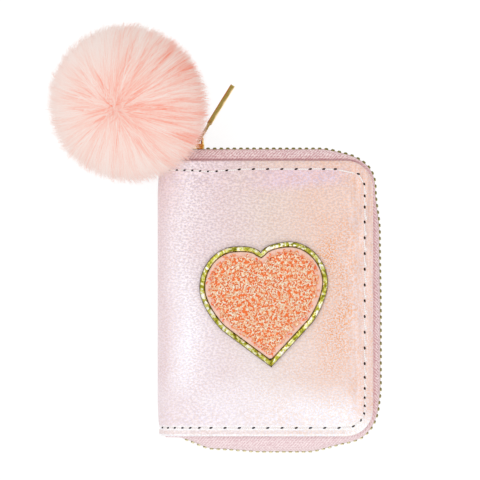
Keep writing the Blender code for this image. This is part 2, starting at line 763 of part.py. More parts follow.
def pom_strap():
    """Flat strap from the core, folded round the ring's wire."""
    sag = RING_RADIUS - math.sqrt(RING_RADIUS ** 2 - (STRAP_WIDTH / 2) ** 2)
    hole_along = RING_WIRE + STRAP_LOOP_CLEARANCE + sag / 2
    hole_across = RING_WIRE + STRAP_LOOP_CLEARANCE
    hole_centre = RING_RADIUS - sag / 2
    hole = []
    loop = []
    steps = 20
    for step in range(steps):
        angle = 2 * math.pi * step / steps
        across = math.cos(angle)
        up = math.sin(angle)
        hole.append((hole_centre + hole_along * across, hole_across * up))
        if across < 0.6:
            loop.append((
                hole_centre + (hole_along + STRAP_LOOP_WALL) * across,
                (hole_across + STRAP_LOOP_WALL) * up))
    half = STRAP_THICKNESS / 2
    end = (POM_CENTRE - RING_CENTRE).length - CORE_RADIUS - EDGE_GAP
    neck = hole_centre + hole_along + STRAP_LOOP_WALL
    outer = [(neck, half)] + loop + [(neck, -half), (end, -half), (end, half)]
    return prism(
        "pom_strap", [outer, hole], -STRAP_WIDTH / 2, STRAP_WIDTH / 2, "skin",
        strap_place(), math.radians(40))


def pom_fur():
    """The fur's soft volume: a flattened ball on the table, hollow for its core.

    It is open at the strap, and cut free of the wallet's corner and of the slider.
    """
    flatness = FUR_HALF_HEIGHT / FUR_RADIUS
    fur = ball("pom_fur", POM_CENTRE, FUR_RADIUS, "fur", 28, flatness)
    centre_hole = ball("fur_core_hole", POM_CENTRE, CORE_RADIUS + EDGE_GAP, None, 20)
    recess = ball("fur_ring_recess", RING_CENTRE, RING_RADIUS + RING_WIRE + RING_RECESS)
    tunnel_radius = math.hypot(STRAP_WIDTH / 2, STRAP_THICKNESS / 2) + STRAP_TUNNEL
    tunnel = rod("fur_tunnel", RING_CENTRE, POM_CENTRE, tunnel_radius)
    below = FUR_RADIUS * 2
    floor = box(
        "fur_floor", (POM_CENTRE.x - below, POM_CENTRE.y - below, -below),
        (POM_CENTRE.x + below, POM_CENTRE.y + below, 0))
    wallet = box(
        "fur_wallet_recess", (-HALF_WIDTH - FUR_CLEARANCE, -HALF_HEIGHT, -below),
        (HALF_WIDTH, CHAIN_Y + TAPE / 2 + FUR_CLEARANCE, THICKNESS + FUR_CLEARANCE))
    bail_top = PIVOT_Y + BAIL_OPENING / 2 + 2 * BAIL_RADIUS
    slider = box(
        "fur_slider_recess", (SLIDER_LEFT - FUR_CLEARANCE, 0, -below),
        (HALF_WIDTH, bail_top + FUR_CLEARANCE,
         HALF_THICKNESS + SLIDER_HALF_WIDE + FUR_CLEARANCE))
    for cut in (floor, wallet, slider, centre_hole, recess):
        combine(fur, cut)
    return combine(fur, tunnel)


def heart_outline():
    """The patch's edge: four curves down its right side, mirrored, and then set on the cover.

    The notch between the lobes is the heart's own origin, and 1 is half its width.
    """
    notch = (0, 0)
    lobe = (0.414, 0.133)
    side = (1, -0.508)
    flank = (0.703, -1.152)
    tip = (0, -1.785)
    curves = (
        (notch, (0.059, 0.102), (0.234, 0.133), lobe),
        (lobe, (0.742, 0.133), (1, -0.176), side),
        (side, (1, -0.723), (0.828, -1.016), flank),
        (flank, (0.586, -1.262), (0.117, -1.680), tip),
    )
    right = []
    for start, start_handle, end_handle, end in curves:
        controls = [Vector((x, y, 0)) for x, y in (start, start_handle, end_handle, end)]
        right += interpolate_bezier(*controls, HEART_STEPS + 1)[:-1]
    tip_point = Vector((tip[0], tip[1], 0))
    left = [Vector((-point.x, point.y, 0)) for point in reversed(right[1:])]
    turn = Matrix.Rotation(HEART_TURN, 3, "Z")
    points = []
    for point in right + [tip_point] + left:
        at = turn @ (point * HEART_HALF_WIDTH)
        points.append((at.x + HEART_X, at.y + HEART_Y))
    return points


def inset_outline(outline, distance):
    """Move a clockwise outline inwards by the same distance all round."""
    points = []
    count = len(outline)
    for index in range(count):
        before = Vector(outline[index - 1])
        here = Vector(outline[index])
        after = Vector(outline[(index + 1) % count])
        first = (here - before).normalized()
        second = (after - here).normalized()
        inward = Vector((first.y, -first.x)) + Vector((second.y, -second.x))
        inward.normalize()
        reach = distance / max(inward.dot(Vector((first.y, -first.x))), 0.45)
        moved = here + inward * reach
        points.append((moved.x, moved.y))
    return points


def heart_patch():
    """Felt backing, raised metallic border and chenille pad."""
    edge = heart_outline()
    border_inner = inset_outline(edge, HEART_BORDER_WIDTH)
    pad_edge = inset_outline(edge, HEART_BORDER_WIDTH + HEART_MARGIN)
    felt_top = HEART_BASE + HEART_FELT
    seat = felt_top + HEART_SEAT
    felt = prism("heart_felt", [edge], HEART_BASE, felt_top, "felt")
    border = prism(
        "heart_border", [edge, border_inner], seat, seat + HEART_BORDER_HEIGHT, "glitter")
    pad = prism("heart_pad", [pad_edge], seat, seat + HEART_PAD_HEIGHT, "chenille")
    for piece, width, segments in ((border, 0.4 * MM, 1), (pad, 1.0 * MM, 2)):
        soften = piece.modifiers.new("Soft edge", "BEVEL")
        soften.width = width
        soften.segments = segments
        soften.limit_method = "ANGLE"
        soften.angle_limit = math.radians(60)
    return [felt, border, pad]


def gusset(index):
    """Folded side of one card pocket: a V pleat round three sides, open towards +X."""
    middle = LEAF_LOW + FILE_PITCH * index - (FILE_PITCH - FILE_SHEET) / 2
    rise = (FILE_PITCH - FILE_SHEET) / 2 - GUSSET_SHEET
    right = FILE_RIGHT - FILE_STEP * index - EDGE_GAP
    corner_x = FILE_LEFT + FILE_CORNER
    corner_y = FILE_HALF_HEIGHT - FILE_CORNER
    path = [((right, FILE_HALF_HEIGHT), (0, -1))]
    for x, y in arc(0, 0, 1, 90, 180, 5):
        path.append(((corner_x + FILE_CORNER * x, corner_y + FILE_CORNER * y), (-x, -y)))
    for x, y in arc(0, 0, 1, 180, 270, 5):
        path.append(((corner_x + FILE_CORNER * x, -corner_y + FILE_CORNER * y), (-x, -y)))
    path.append(((right, -FILE_HALF_HEIGHT), (0, 1)))
    shape = bmesh.new()
    rows = []
    for (x, y), (in_x, in_y) in path:
        row = []
        for inward, height in ((EDGE_GAP, rise), (GUSSET_FOLD, 0), (EDGE_GAP, -rise)):
            row.append(shape.verts.new((x + in_x * inward, y + in_y * inward, middle + height)))
        rows.append(row)
    for first, second in zip(rows, rows[1:]):
        for index_in_row in range(2):
            shape.faces.new((
                first[index_in_row], first[index_in_row + 1],
                second[index_in_row + 1], second[index_in_row]))
    pleat = from_bmesh("file_gusset_" + str(index), shape, "file")
    shell = pleat.modifiers.new("Pleat thickness", "SOLIDIFY")
    shell.thickness = GUSSET_SHEET
    shell.offset = 0
    return pleat


def file_sheet(name, index):
    """One leaf of the card file. Each leaf is shorter than the one under it."""
    low = LEAF_LOW + FILE_PITCH * index
    outline = rounded_rectangle(
        FILE_LEFT, FILE_RIGHT - FILE_STEP * index, -FILE_HALF_HEIGHT, FILE_HALF_HEIGHT,
        FILE_CORNER)
    return prism(name, [outline], low, low + FILE_SHEET, "file")


def window_pocket():
    """Framed pocket on the front lining with a clear window behind the frame."""
    film_depth = INNER_DEPTH + FILM_GAP
    frame_depth = film_depth + FILM_SHEET + FILM_GAP
    outer = rounded_rectangle(
        POCKET_LEFT, POCKET_RIGHT, -POCKET_HALF_HEIGHT, POCKET_HALF_HEIGHT, 4 * MM)
    window = rounded_rectangle(
        POCKET_LEFT + WINDOW_FRAME, POCKET_RIGHT - WINDOW_FRAME,
        -POCKET_HALF_HEIGHT + WINDOW_FRAME, POCKET_HALF_HEIGHT - WINDOW_FRAME, 3 * MM)
    film_inset = WINDOW_FRAME / 2
    film_outline = rounded_rectangle(
        POCKET_LEFT + film_inset, POCKET_RIGHT - film_inset,
        -POCKET_HALF_HEIGHT + film_inset, POCKET_HALF_HEIGHT - film_inset, 3 * MM)
    pocket = plate("id_pocket", True, frame_depth, POCKET_SHEET, [outer, window], "file")
    film = plate("id_window", True, film_depth, FILM_SHEET, [film_outline], "film")
    return [pocket, film]


def cover_layers(side, front):
    """Skin, foam, board and lining of one cover."""
    inside = SKIN + EDGE_GAP
    board_left = FOLD_X + RIM_DEPTH
    foam_left = ARC_CENTRE_X + EDGE_GAP
    lining_left = FOLD_X + INNER_DEPTH / 2
    return [
        skin_tray(side + "_skin", front),
        plate(side + "_foam", front, FOAM_DEPTH, FOAM, [cover_outline(inside, foam_left)], "foam"),
        plate(
            side + "_board", front, BOARD_DEPTH, BOARD, [cover_outline(inside, board_left)],
            "board"),
        plate(
            side + "_lining", front, LINING_DEPTH, LINING,
            [cover_outline(LINING_INSET, lining_left)], "lining"),
    ]


def spine_layers():
    """Skin, stiffener and lining of the spine."""
    stiffener_x = -HALF_WIDTH + SKIN + LAYER_GAP
    lining_x = stiffener_x + SPINE_STIFFENER + LAYER_GAP
    end = HALF_HEIGHT - LINING_INSET
    stiffener = box(
        "spine_board",
        (stiffener_x, -end, SPINE_RADIUS),
        (stiffener_x + SPINE_STIFFENER, end, THICKNESS - SPINE_RADIUS), "board")
    lining = box(
        "spine_lining",
        (lining_x, -end, INNER_DEPTH + 0.5 * MM),
        (lining_x + LINING, end, THICKNESS - INNER_DEPTH - 0.5 * MM), "lining")
    return [spine_skin(), stiffener, lining]


def build():
    clear_scene()

    # Back half, which lies on the table and carries the rest
    cover_layers("back", False)
    zip_tape("zip_tape_back", False)
    zip_teeth("zip_teeth_back", False, 0.45)
    file_sheet("file_base", 0)

    # Spine and front half, each on its own fold
    spine_fold = joint_axis("spine_fold_axis", (FOLD_X, 0, FOLD_INSET))
    carry(spine_fold, spine_layers())
    cover_fold = joint_axis("cover_fold_axis", (FOLD_X, 0, THICKNESS - FOLD_INSET), spine_fold)
    front_pieces = cover_layers("front", True)
    front_pieces.append(zip_tape("zip_tape_front", True))
    front_pieces.append(zip_teeth("zip_teeth_front", True, 0.95))
    front_pieces += window_pocket()
    front_pieces += heart_patch()
    carry(cover_fold, front_pieces)

    # Leaves of the card file, each turning on the one under it
    under = None
    for index in range(1, FILE_LEAVES + 1):
        pleat = gusset(index)
        if under:
            carry(under, [pleat])
        hinge_z = LEAF_LOW + FILE_PITCH * index + FILE_SHEET / 2
        hinge = joint_axis("file_hinge_" + str(index) + "_axis", (FILE_LEFT, 0, hinge_z), under)
        carry(hinge, [file_sheet("file_leaf_" + str(index), index)])
        under = hinge

    # Slider on the chain, with the pull tab and the pom-pom hung from its bail
    slide = joint_axis("zip_slide_axis", (SLIDER_LEFT, CHAIN_Y, HALF_THICKNESS))
    carry(slide, [zip_slider()])
    tab_axis = joint_axis("tab_swing_axis", TAB_PIVOT, slide)
    carry(tab_axis, [pull_tab()])
    ring_axis = joint_axis("ring_swing_axis", RING_PIVOT, slide)
    carry(ring_axis, [jump_ring()])
    lift_axis = joint_axis("pom_lift_axis", RING_CENTRE, ring_axis)
    core = ball("pom_core", POM_CENTRE, CORE_RADIUS, "core", 20)
    carry(lift_axis, [pom_strap(), core, pom_fur()])


build()
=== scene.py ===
"""Looks of a small zip-around wallet with a heart patch and a fur pom-pom.

Everything is in metres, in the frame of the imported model: +Z is the thickness, +X runs from the
spine to the opening edge and +Y up the wallet, which lies on the floor at z = 0.
"""
import bisect
import math
import random

import bmesh
import bpy
from mathutils import Matrix, Vector, kdtree, noise
from mathutils.geometry import interpolate_bezier


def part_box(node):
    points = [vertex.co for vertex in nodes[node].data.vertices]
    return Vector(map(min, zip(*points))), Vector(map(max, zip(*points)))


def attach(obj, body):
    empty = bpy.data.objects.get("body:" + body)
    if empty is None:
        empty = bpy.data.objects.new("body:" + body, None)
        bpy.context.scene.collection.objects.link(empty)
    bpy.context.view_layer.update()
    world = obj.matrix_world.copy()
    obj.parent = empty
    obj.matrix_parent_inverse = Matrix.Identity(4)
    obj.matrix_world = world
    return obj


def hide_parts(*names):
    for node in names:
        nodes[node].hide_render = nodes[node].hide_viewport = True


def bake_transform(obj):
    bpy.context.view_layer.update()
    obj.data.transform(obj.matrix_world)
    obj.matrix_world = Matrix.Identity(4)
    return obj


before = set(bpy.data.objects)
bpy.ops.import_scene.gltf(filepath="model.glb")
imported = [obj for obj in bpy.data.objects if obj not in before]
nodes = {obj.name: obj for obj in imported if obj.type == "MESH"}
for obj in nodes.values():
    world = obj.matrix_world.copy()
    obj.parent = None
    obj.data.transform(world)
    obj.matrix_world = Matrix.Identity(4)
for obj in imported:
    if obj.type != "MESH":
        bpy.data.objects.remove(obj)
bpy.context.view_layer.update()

MM = 0.001
SEED = 7
TURN = 2 * math.pi
WHITE = (1.0, 1.0, 1.0, 1.0)

# Main sizes, read from the frame
cover_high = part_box("front_skin")[1]
HALF_WIDTH, HALF_HEIGHT, THICKNESS = cover_high

# Shape of the covers, as in the solids
CORNER_RADIUS = 11.0 * MM
SPINE_RADIUS = 7.0 * MM
RIM_DEPTH = 3.3 * MM
CORNER_X = HALF_WIDTH - CORNER_RADIUS
CORNER_Y = HALF_HEIGHT - CORNER_RADIUS
ARC_X = -HALF_WIDTH + SPINE_RADIUS
ARC_LENGTH = SPINE_RADIUS * math.pi / 2
SPINE_HALF = THICKNESS / 2 - SPINE_RADIUS
SPINE_END = ARC_X - ARC_LENGTH - SPINE_HALF

# Distances from a cover's edge, in millimetres, at which its border has points
BAND = (0.0, 0.06, 0.18, 0.36, 0.62, 1.0, 1.6, 2.3, 2.8, 3.15, 3.4, 3.65, 4.0, 4.6, 5.6, 7.0, 9.0, 11.0)

# Stitching: its distance from the cover's edge and the spacing of its holes
STITCH_INSET = 3.4 * MM
STITCH_PITCH = 5.7 * MM
STITCH_PITCH_RIGHT = 6.3 * MM
STITCH_PITCH_SPINE = 3.1 * MM
STITCH_PITCH_CORNER = 3.2 * MM
THREAD_RADIUS = 0.26 * MM

# Zip, as in the solids
TAPE = 0.5 * MM
TAPE_DEPTH = 3.75 * MM
TAPE_TURN = 7.2 * MM
TAPE_END = 10.0 * MM
TAPE_FLANGE = 5.0 * MM
TAPE_FLANGE_EDGE = 0.6 * MM
TAPE_START = -40.0 * MM
TAPE_STEP = 0.9 * MM
CHAIN_TOP_START = -36.0 * MM
CHAIN_BOTTOM_END = -33.2 * MM
TOOTH_PITCH = 2.64 * MM
CORD_RADIUS = 0.55 * MM
SLIDER_LEFT = -35.0 * MM
SPREAD_START = -28.5 * MM
SPREAD_LENGTH = 3.2 * MM
CHAIN_SPREAD = 1.7 * MM

# Lengths of the zip edge's parts, from the top of the spine round to its bottom
SHORT_RUN = CORNER_X - TAPE_START
CORNER_RUN = CORNER_RADIUS * math.pi / 2
RIGHT_RUN = 2 * CORNER_Y
RIGHT_START = SHORT_RUN + CORNER_RUN
RIGHT_END = RIGHT_START + RIGHT_RUN
BOTTOM_START = RIGHT_END + CORNER_RUN
EDGE_RUN = BOTTOM_START + SHORT_RUN

# How far the tape stands out from the cover's edge, in millimetres, along that edge
BULGES = (
    (0, 0.4),
    (SLIDER_LEFT - 1.0 * MM - TAPE_START, 4.3),
    (SHORT_RUN - 10.0 * MM, 4.3),
    (SHORT_RUN + 0.4 * CORNER_RUN, 1.3),
    (RIGHT_START, 0.6),
    (RIGHT_START + 0.2 * RIGHT_RUN, 2.295),
    (RIGHT_START + 0.6 * RIGHT_RUN, 2.7),
    (RIGHT_START + 0.9 * RIGHT_RUN, 2.7),
    (RIGHT_END + 0.25 * CORNER_RUN, 1.5),
    (RIGHT_END + 0.75 * CORNER_RUN, 2.1),
    (BOTTOM_START + CORNER_X * 0.5, 6.0),
    (BOTTOM_START + CORNER_X, 6.0),
    (EDGE_RUN - 20.0 * MM, 4.9),
    (EDGE_RUN - 4.5 * MM, 0.4),
    (EDGE_RUN, 0.4),
)
SLIDER_BULGE = 4.3 * MM

# A tooth's sections from its legs on the tape to its tip: depth past the tape's end, half width
# across the tape and half length along it, in millimetres
TOOTH_SECTIONS = (
    (-1.05, 0.50, 0.44),
    (-0.90, 0.72, 0.66),
    (0.10, 1.02, 0.80),
    (0.80, 1.20, 0.88),
    (1.50, 1.20, 0.84),
    (2.00, 1.02, 0.50),
    (2.35, 0.62, 0.34),
)

# Heart patch: curves of its right side from the notch to the tip, in half widths
HEART_PLACE = Vector((-1.8, 18.2)) * MM
HEART_TURN = math.radians(5.27)
HEART_HALF_WIDTH = 25.6 * MM
HEART_CURVES = (
    ((0, 0), (0.059, 0.102), (0.234, 0.133), (0.414, 0.133)),
    ((0.414, 0.133), (0.742, 0.133), (1, -0.176), (1, -0.508)),
    ((1, -0.508), (1, -0.723), (0.828, -1.016), (0.703, -1.152)),
    ((0.703, -1.152), (0.586, -1.262), (0.117, -1.680), (0, -1.785)),
)

# The pull tab's facing direction, its middle plane along it and its half thickness
TAB_ANGLE = math.radians(58.3)
TAB_ACROSS = ((math.sin(TAB_ANGLE), -math.cos(TAB_ANGLE), 0.0), -55.95 * MM, 0.95 * MM)

# Pom-pom: the soft body of the solids, and the parting that its hair is combed away from
POM_CENTRE = Vector((-55.3, 78.6, 25.5)) * MM
POM_RADIUS = 31.0 * MM
POM_HALF_HEIGHT = 26.0 * MM
POM_PARTING = Vector((-0.14, -0.115, 0.984)).normalized()
UNDERFUR_SHARE = 0.91
HAIR_START = 0.90
HAIR_REACH = 1.09
HAIR_SWEEP = 0.85
HAIR_STEPS = 6
HAIR_LOCKS = 2000
HAIR_TO_SLIDER = Vector((0.83, -0.56, 0.0))
# Side where the hair has painted shade: less pale and more streaked
HAIR_SHADED_SIDE = Vector((0.96, 0.28, 0.0))
HAIR_CLEARANCE = 0.25 * MM

# Space by the slider that hair rises over or keeps out of
SLIDER_ZONE_X = -39 * MM
SLIDER_ZONE_Y = 70 * MM
SLIDER_ZONE_LOW = 4 * MM
SLIDER_ZONE_MIDDLE = 13 * MM
SLIDER_ZONE_HIGH = 17.6 * MM


def linear(colour):
    """A colour of whole numbers is sRGB, 0 to 255, and becomes linear RGBA. The rest stays as it is."""
    if not isinstance(colour, tuple) or not isinstance(colour[0], int):
        return colour
    parts = []
    for value in colour:
        value /= 255
        parts.append(value / 12.92 if value <= 0.04045 else ((value + 0.055) / 1.055) ** 2.4)
    return (*parts, 1.0)


class Nodes:
    """Shader nodes of a material or world, with short calls to make them."""

    def __init__(self, tree):
        self.tree = tree

    def set(self, node, inputs):
        for name, value in inputs.items():
            socket = node.inputs[name.replace("_", " ")] if isinstance(name, str) else node.inputs[name]
            if isinstance(value, bpy.types.NodeSocket):
                self.tree.links.new(value, socket)
            else:
                socket.default_value = linear(value)

    def node(self, kind, inputs=None, **settings):
        made = self.tree.nodes.new("ShaderNode" + kind)
        for name, value in settings.items():
            setattr(made, name, value)
        self.set(made, inputs or {})
        return made

    def math(self, operation, first, second=0.5, clamp=False):
        return self.node("Math", {0: first, 1: second}, operation=operation, use_clamp=clamp).outputs[0]

    def plus(self, first, second, clamp=False):
        return self.math("ADD", first, second, clamp)

    def times(self, first, *others):
        for other in others:
            first = self.math("MULTIPLY", first, other)
        return first

    def vector(self, operation, *inputs):
        """Vector maths. The second input of SCALE is a number."""
        sockets = (0, "Scale") if operation == "SCALE" else (0, 1)
        made = self.node("VectorMath", dict(zip(sockets, inputs)), operation=operation)
        return made.outputs["Value" if operation == "DOT_PRODUCT" else "Vector"]

    def mix(self, factor, first, second, blend="MIX"):
        made = self.node("Mix", data_type="RGBA", blend_type=blend)
        self.set(made, {0: factor, 6: first, 7: second})
        return made.outputs[2]

    def tinted(self, colour, tint):
        return self.mix(1.0, colour, tint, "MULTIPLY")

    def ramp(self, factor, *stops):
        """Colours, or plain numbers as greys, at positions."""
        made = self.node("ValToRGB", {0: factor})
        points = made.color_ramp.elements
        while len(points) < len(stops):
            points.new(0.5)
        for point, (position, colour) in zip(points, stops):
            if isinstance(colour, float):
                colour = (colour, colour, colour)
            point.position = position
            point.color = (*linear(colour)[:3], 1.0)
        return made.outputs[0]

    def span(self, value, low, high, new_low=0.0, new_high=1.0):
        made = self.node("MapRange", {0: value, 1: low, 2: high, 3: new_low, 4: new_high})
        return made.outputs[0]

    def noise(self, where, scale, detail=2.0, rough=0.5):
        inputs = {"Vector": where, "Scale": scale, "Detail": detail, "Roughness": rough}
        return self.node("TexNoise", inputs).outputs[0]

    def cloud(self, where, scale, detail, low, high):
        """Noise stretched to run from one value to another."""
        return self.span(self.noise(where, scale, detail), 0.3, 0.7, low, high)

    def cells(self, where, scale, feature="F1", output=0):
        return self.node("TexVoronoi", {"Vector": where, "Scale": scale}, feature=feature).outputs[output]

    def stretch(self, where, x, y, turn=0.0):
        inputs = {"Vector": where, "Scale": (x, y, 1.0), "Rotation": (0.0, 0.0, turn)}
        return self.node("Mapping", inputs).outputs[0]

    def split(self, where):
        return self.node("SeparateXYZ", {0: where}).outputs

    def place(self, output="Object"):
        return self.node("TexCoord").outputs[output]

    def attribute(self, name, output="Fac"):
        return self.node("Attribute", attribute_name=name).outputs[output]

    def bump(self, height, distance, strength=1.0, under=None):
        inputs = {"Height": height, "Distance": distance, "Strength": strength}
        if under:
            inputs["Normal"] = under
        return self.node("Bump", inputs).outputs[0]

    def show(self, lit, shown, output):
        """Light the scene with one shader and show another, also in reflections and through film."""
        path = self.node("LightPath").outputs
        seen = self.math("MAXIMUM", path["Is Camera Ray"], path["Is Transmission Ray"])
        seen = self.math("MAXIMUM", seen, path["Is Glossy Ray"])
        both = self.node("MixShader", {0: seen, 1: lit.outputs[0], 2: shown.outputs[0]})
        self.set(self.tree.nodes[output], {0: both.outputs[0]})


class Finish(Nodes):
    """A material under construction."""

    def __init__(self, name, **settings):
        self.material = bpy.data.materials.new(name)
        self.material.use_nodes = True
        super().__init__(self.material.node_tree)
        self.shader = self.tree.nodes["Principled BSDF"]
        self.set(self.shader, settings)

    def done(self, **inputs):
        """Give the shader its last inputs."""
        self.set(self.shader, inputs)
        return self.material


def skin_finish():
    """Iridescent coated cloth, its reflection colours painted in as fixed ones: lavender by the spine,
    beige in the middle, peach at the edge.

    Places are measured on the cover laid out flat, from its middle. The skin also carries painted
    highlights and painted shade.
    """
    finish = Finish("iridescent_skin", Roughness=0.36, Coat_Weight=0.12, Coat_Roughness=0.3)
    plus, times, mix = finish.plus, finish.times, finish.mix
    span, ramp, noise_of = finish.span, finish.ramp, finish.noise
    flat = finish.attribute("flat", "Vector")
    across, along, depth = finish.split(flat)
    drift = finish.cloud(flat, 28.0, 3.0, -0.04, 0.04)
    share = plus(span(across, -HALF_WIDTH, HALF_WIDTH), drift)
    rise = plus(along, span(drift, -0.04, 0.04, -0.004, 0.004))
    # Painted reflection colours: the iridescence is painted in as a fixed run from lavender to peach
    hue = ramp(
        share, (0.03, (238, 217, 218)), (0.25, (234, 214, 215)), (0.50, (232, 211, 201)),
        (0.78, (238, 205, 190)), (1.0, (239, 207, 195)))
    # Painted shade: a little darker and duller along the top, under the zip
    top = times(span(rise, 0.038, 0.050), span(share, 0.03, 0.09))
    hue = mix(top, hue, finish.tinted(hue, (0.975, 0.945, 0.955, 1.0)))

    # Violet under the top seam
    lean = plus(along, span(across, 0.0, 0.032, 0.0, -0.003))
    veil = times(
        span(across, -0.010, 0.004), span(across, 0.035, 0.027),
        span(lean, 0.0415, 0.0455, 0.0, 0.85), span(along, 0.0525, 0.0512))
    hue = mix(veil, hue, (232, 203, 212))

    # Painted highlights: a painted sheen ridge beside the spine, a pale painted haze in the lower middle
    # and a painted gloss along the bottom
    down = span(rise, 0.030, -0.020)
    highlight_ridge = ramp(share, (0.03, 0.05), (0.07, 0.5), (0.13, 1.0), (0.21, 0.42), (0.30, 0.1))
    highlight_haze = ramp(share, (0.0, 0.1), (0.2, 0.16), (0.48, 0.30), (0.72, 0.14), (0.95, 0.05))
    gloss = ramp(share, (0.05, 0.32), (0.24, 0.68), (0.45, 0.68), (0.86, 0.97), (1.0, 0.3))
    sheen = plus(times(highlight_ridge, span(down, 0.0, 1.0, 0.45, 0.90)), times(highlight_haze, down), True)
    slope = plus(rise, span(across, 0.0, 0.036, 0.0, 0.006))
    sheen = mix(span(slope, -0.030, -0.041), sheen, gloss)
    hue = mix(sheen, hue, (255, 250, 254))

    # Painted shade on a warm, darker hem just inside the bottom edge, and a painted highlight, a white
    # rim, along the bottom's turned edge
    band = times(span(along, -0.0519, -0.0523), span(across, 0.036, 0.031))
    hue = mix(band, hue, (232, 200, 192))
    rim = times(span(depth, 0.45 * MM, 0.62 * MM), span(along, -0.044, -0.052))
    hue = mix(rim, hue, (255, 253, 253))

    # Warm and cool flecks, strongest in an orange column right of the heart
    right = span(share, 0.35, 0.85)
    fleck = noise_of(flat, 1700.0, 1.0)
    patch = span(noise_of(flat, 90.0), 0.35, 0.65, 0.4, 1.0)
    column = times(
        span(across, 0.018, 0.024), span(across, 0.038, 0.031),
        span(along, -0.034, -0.014), span(along, 0.040, 0.022))
    warm_tint = mix(right, (0.93, 0.84, 0.82, 1.0), (0.99, 0.84, 0.72, 1.0))
    warm_tint = mix(column, warm_tint, (0.97, 0.50, 0.16, 1.0))
    cool_tint = mix(right, (1.06, 1.06, 1.16, 1.0), (1.01, 1.10, 1.22, 1.0))
    hue = mix(times(span(fleck, 0.49, 0.58), patch), hue, finish.tinted(hue, warm_tint))
    hue = mix(span(fleck, 0.47, 0.40), hue, finish.tinted(hue, cool_tint))

    # Grain, drawn out upright near the opening edge
    coarse = noise_of(finish.stretch(flat, 0.7, 1.0, 0.2), 1400.0, 2.0, 0.55)
    grain = plus(span(coarse, 0.40, 0.60, 0.0, 0.6), span(fleck, 0.4, 0.6, 0.0, 0.4))
    upright = span(noise_of(finish.stretch(flat, 1.0, 0.10), 900.0), 0.33, 0.66)
    grain = mix(span(across, 0.030, 0.037, 0.0, 0.6), grain, upright)
    calm = ramp(share, (0.03, 0.46), (0.10, 0.66), (0.16, 0.88), (0.30, 0.66), (0.6, 0.48), (1.0, 0.55))
    strength = times(calm, span(rise, -0.05, 0.04, 0.55, 1.0))
    dark_grain = mix(strength, WHITE, (0.67, 0.62, 0.63, 1.0))
    light_grain = mix(strength, WHITE, (1.29, 1.36, 1.36, 1.0))
    fine = finish.bump(grain, 0.12 * MM, 0.8)
    return finish.done(
        Base_Color=finish.tinted(hue, mix(grain, dark_grain, light_grain)),
        Normal=finish.bump(noise_of(flat, 60.0), 0.5 * MM, 0.35, fine),
        Roughness=finish.cloud(flat, 420.0, 2.0, 0.28, 0.44))


def weave_finish():
    """Woven tape: slanted ribs that change direction from band to band.

    Where it comes out from under a cover it has painted shade: a darker band and a dark line of painted
    shadow in the gap. It is paler along the bottom.
    """
    slant = 1.24 * MM
    band = 5.0 * MM
    finish = Finish("zip_tape", Roughness=0.82, Sheen_Weight=0.2, Sheen_Roughness=0.5)
    plus, times, mix, span = finish.plus, finish.times, finish.mix, finish.span
    flat = finish.attribute("flat", "Vector")
    along, up, out = finish.split(flat)
    wave = plus(along, times(finish.math("PINGPONG", up, band), 0.9))
    wave = plus(times(wave, TURN / slant), finish.cloud(flat, 420.0, 1.0, -1.3, 1.3))
    cross = finish.math("SINE", times(up, TURN / (slant * 0.8)))
    rib = span(plus(finish.math("SINE", wave), times(cross, 0.5)), -1.3, 1.3)
    fuzz = finish.noise(flat, 1300.0)
    shade = plus(rib, span(fuzz, 0.35, 0.65, -0.4, 0.4), True)
    hue = mix(shade, (206, 157, 162), (250, 229, 228))
    x, y, _ = finish.split(finish.place())
    below = span(y, -0.044, -0.056)
    beside = span(x, 0.036, 0.043)
    hue = mix(times(below, 0.4), hue, (255, 238, 242))
    # Painted shade: a darker band by the cover's edge, weaker at the bottom, and a dark line of painted
    # shadow in the gap, weaker at the bottom and right
    root_shade = times(span(out, 1.7 * MM, 0.5 * MM), span(below, 0.0, 1.0, 0.35, 0.0))
    hue = mix(root_shade, hue, (228, 172, 176))
    away = finish.math("MAXIMUM", below, beside)
    gap_shadow = times(span(out, 0.95 * MM, 0.40 * MM), span(away, 0.0, 1.0, 0.5, 0.0))
    return finish.done(
        Base_Color=mix(gap_shadow, hue, (146, 74, 82)),
        Normal=finish.bump(plus(rib, times(fuzz, 0.5)), 0.14 * MM, 0.8))


def gold_finish(name, colours, roughness, scale, lit=(0.75, -0.45, 0.45), cloudy=0.15, across=None):
    """Plated metal with painted light: deep, middle and pale tones painted from its shaded to its lit
    sides, finely scratched.

    Given a direction, its middle and its half width, the tone also runs from one face to the other.
    """
    finish = Finish(name, Metallic=1.0, Roughness=roughness)
    where = finish.place()
    # Painted shade and painted reflection: the tone follows how far each face turns towards a direction
    facing = finish.vector("DOT_PRODUCT", finish.place("Normal"), lit)
    tone = finish.plus(finish.span(facing, -0.8, 0.9), finish.cloud(where, scale, 3.0, -cloudy, cloudy))
    if across:
        direction, middle, half = across
        offset = finish.vector("DOT_PRODUCT", where, direction)
        tone = finish.plus(tone, finish.span(offset, middle - half, middle + half, -0.5, 0.28), True)
    deep, middle, pale = colours
    scratch = finish.noise(finish.stretch(where, 1.0, 8.0, 0.6), scale * 4, 3.0)
    return finish.done(
        Base_Color=finish.ramp(tone, (0.05, deep), (0.45, middle), (0.75, middle), (0.98, pale)),
        Roughness=finish.span(scratch, 0.3, 0.75, roughness * 0.7, roughness * 1.5),
        Normal=finish.bump(scratch, 0.03 * MM, 0.3))


def sheet_finish():
    """Smooth coated sheet of the pockets, with a fine leather grain."""
    finish = Finish("file_sheet", Roughness=0.5)
    where = finish.place()
    colour = linear((232, 190, 190))
    lighter = tuple(min(part * 1.14, 1.0) for part in colour[:3]) + (1.0,)
    return finish.done(
        Base_Color=finish.mix(finish.cloud(where, 90.0, 3.0, 0.0, 1.0), colour, lighter),
        Normal=finish.bump(finish.cells(where, 700.0, "SMOOTH_F1"), 0.12 * MM, 0.6))


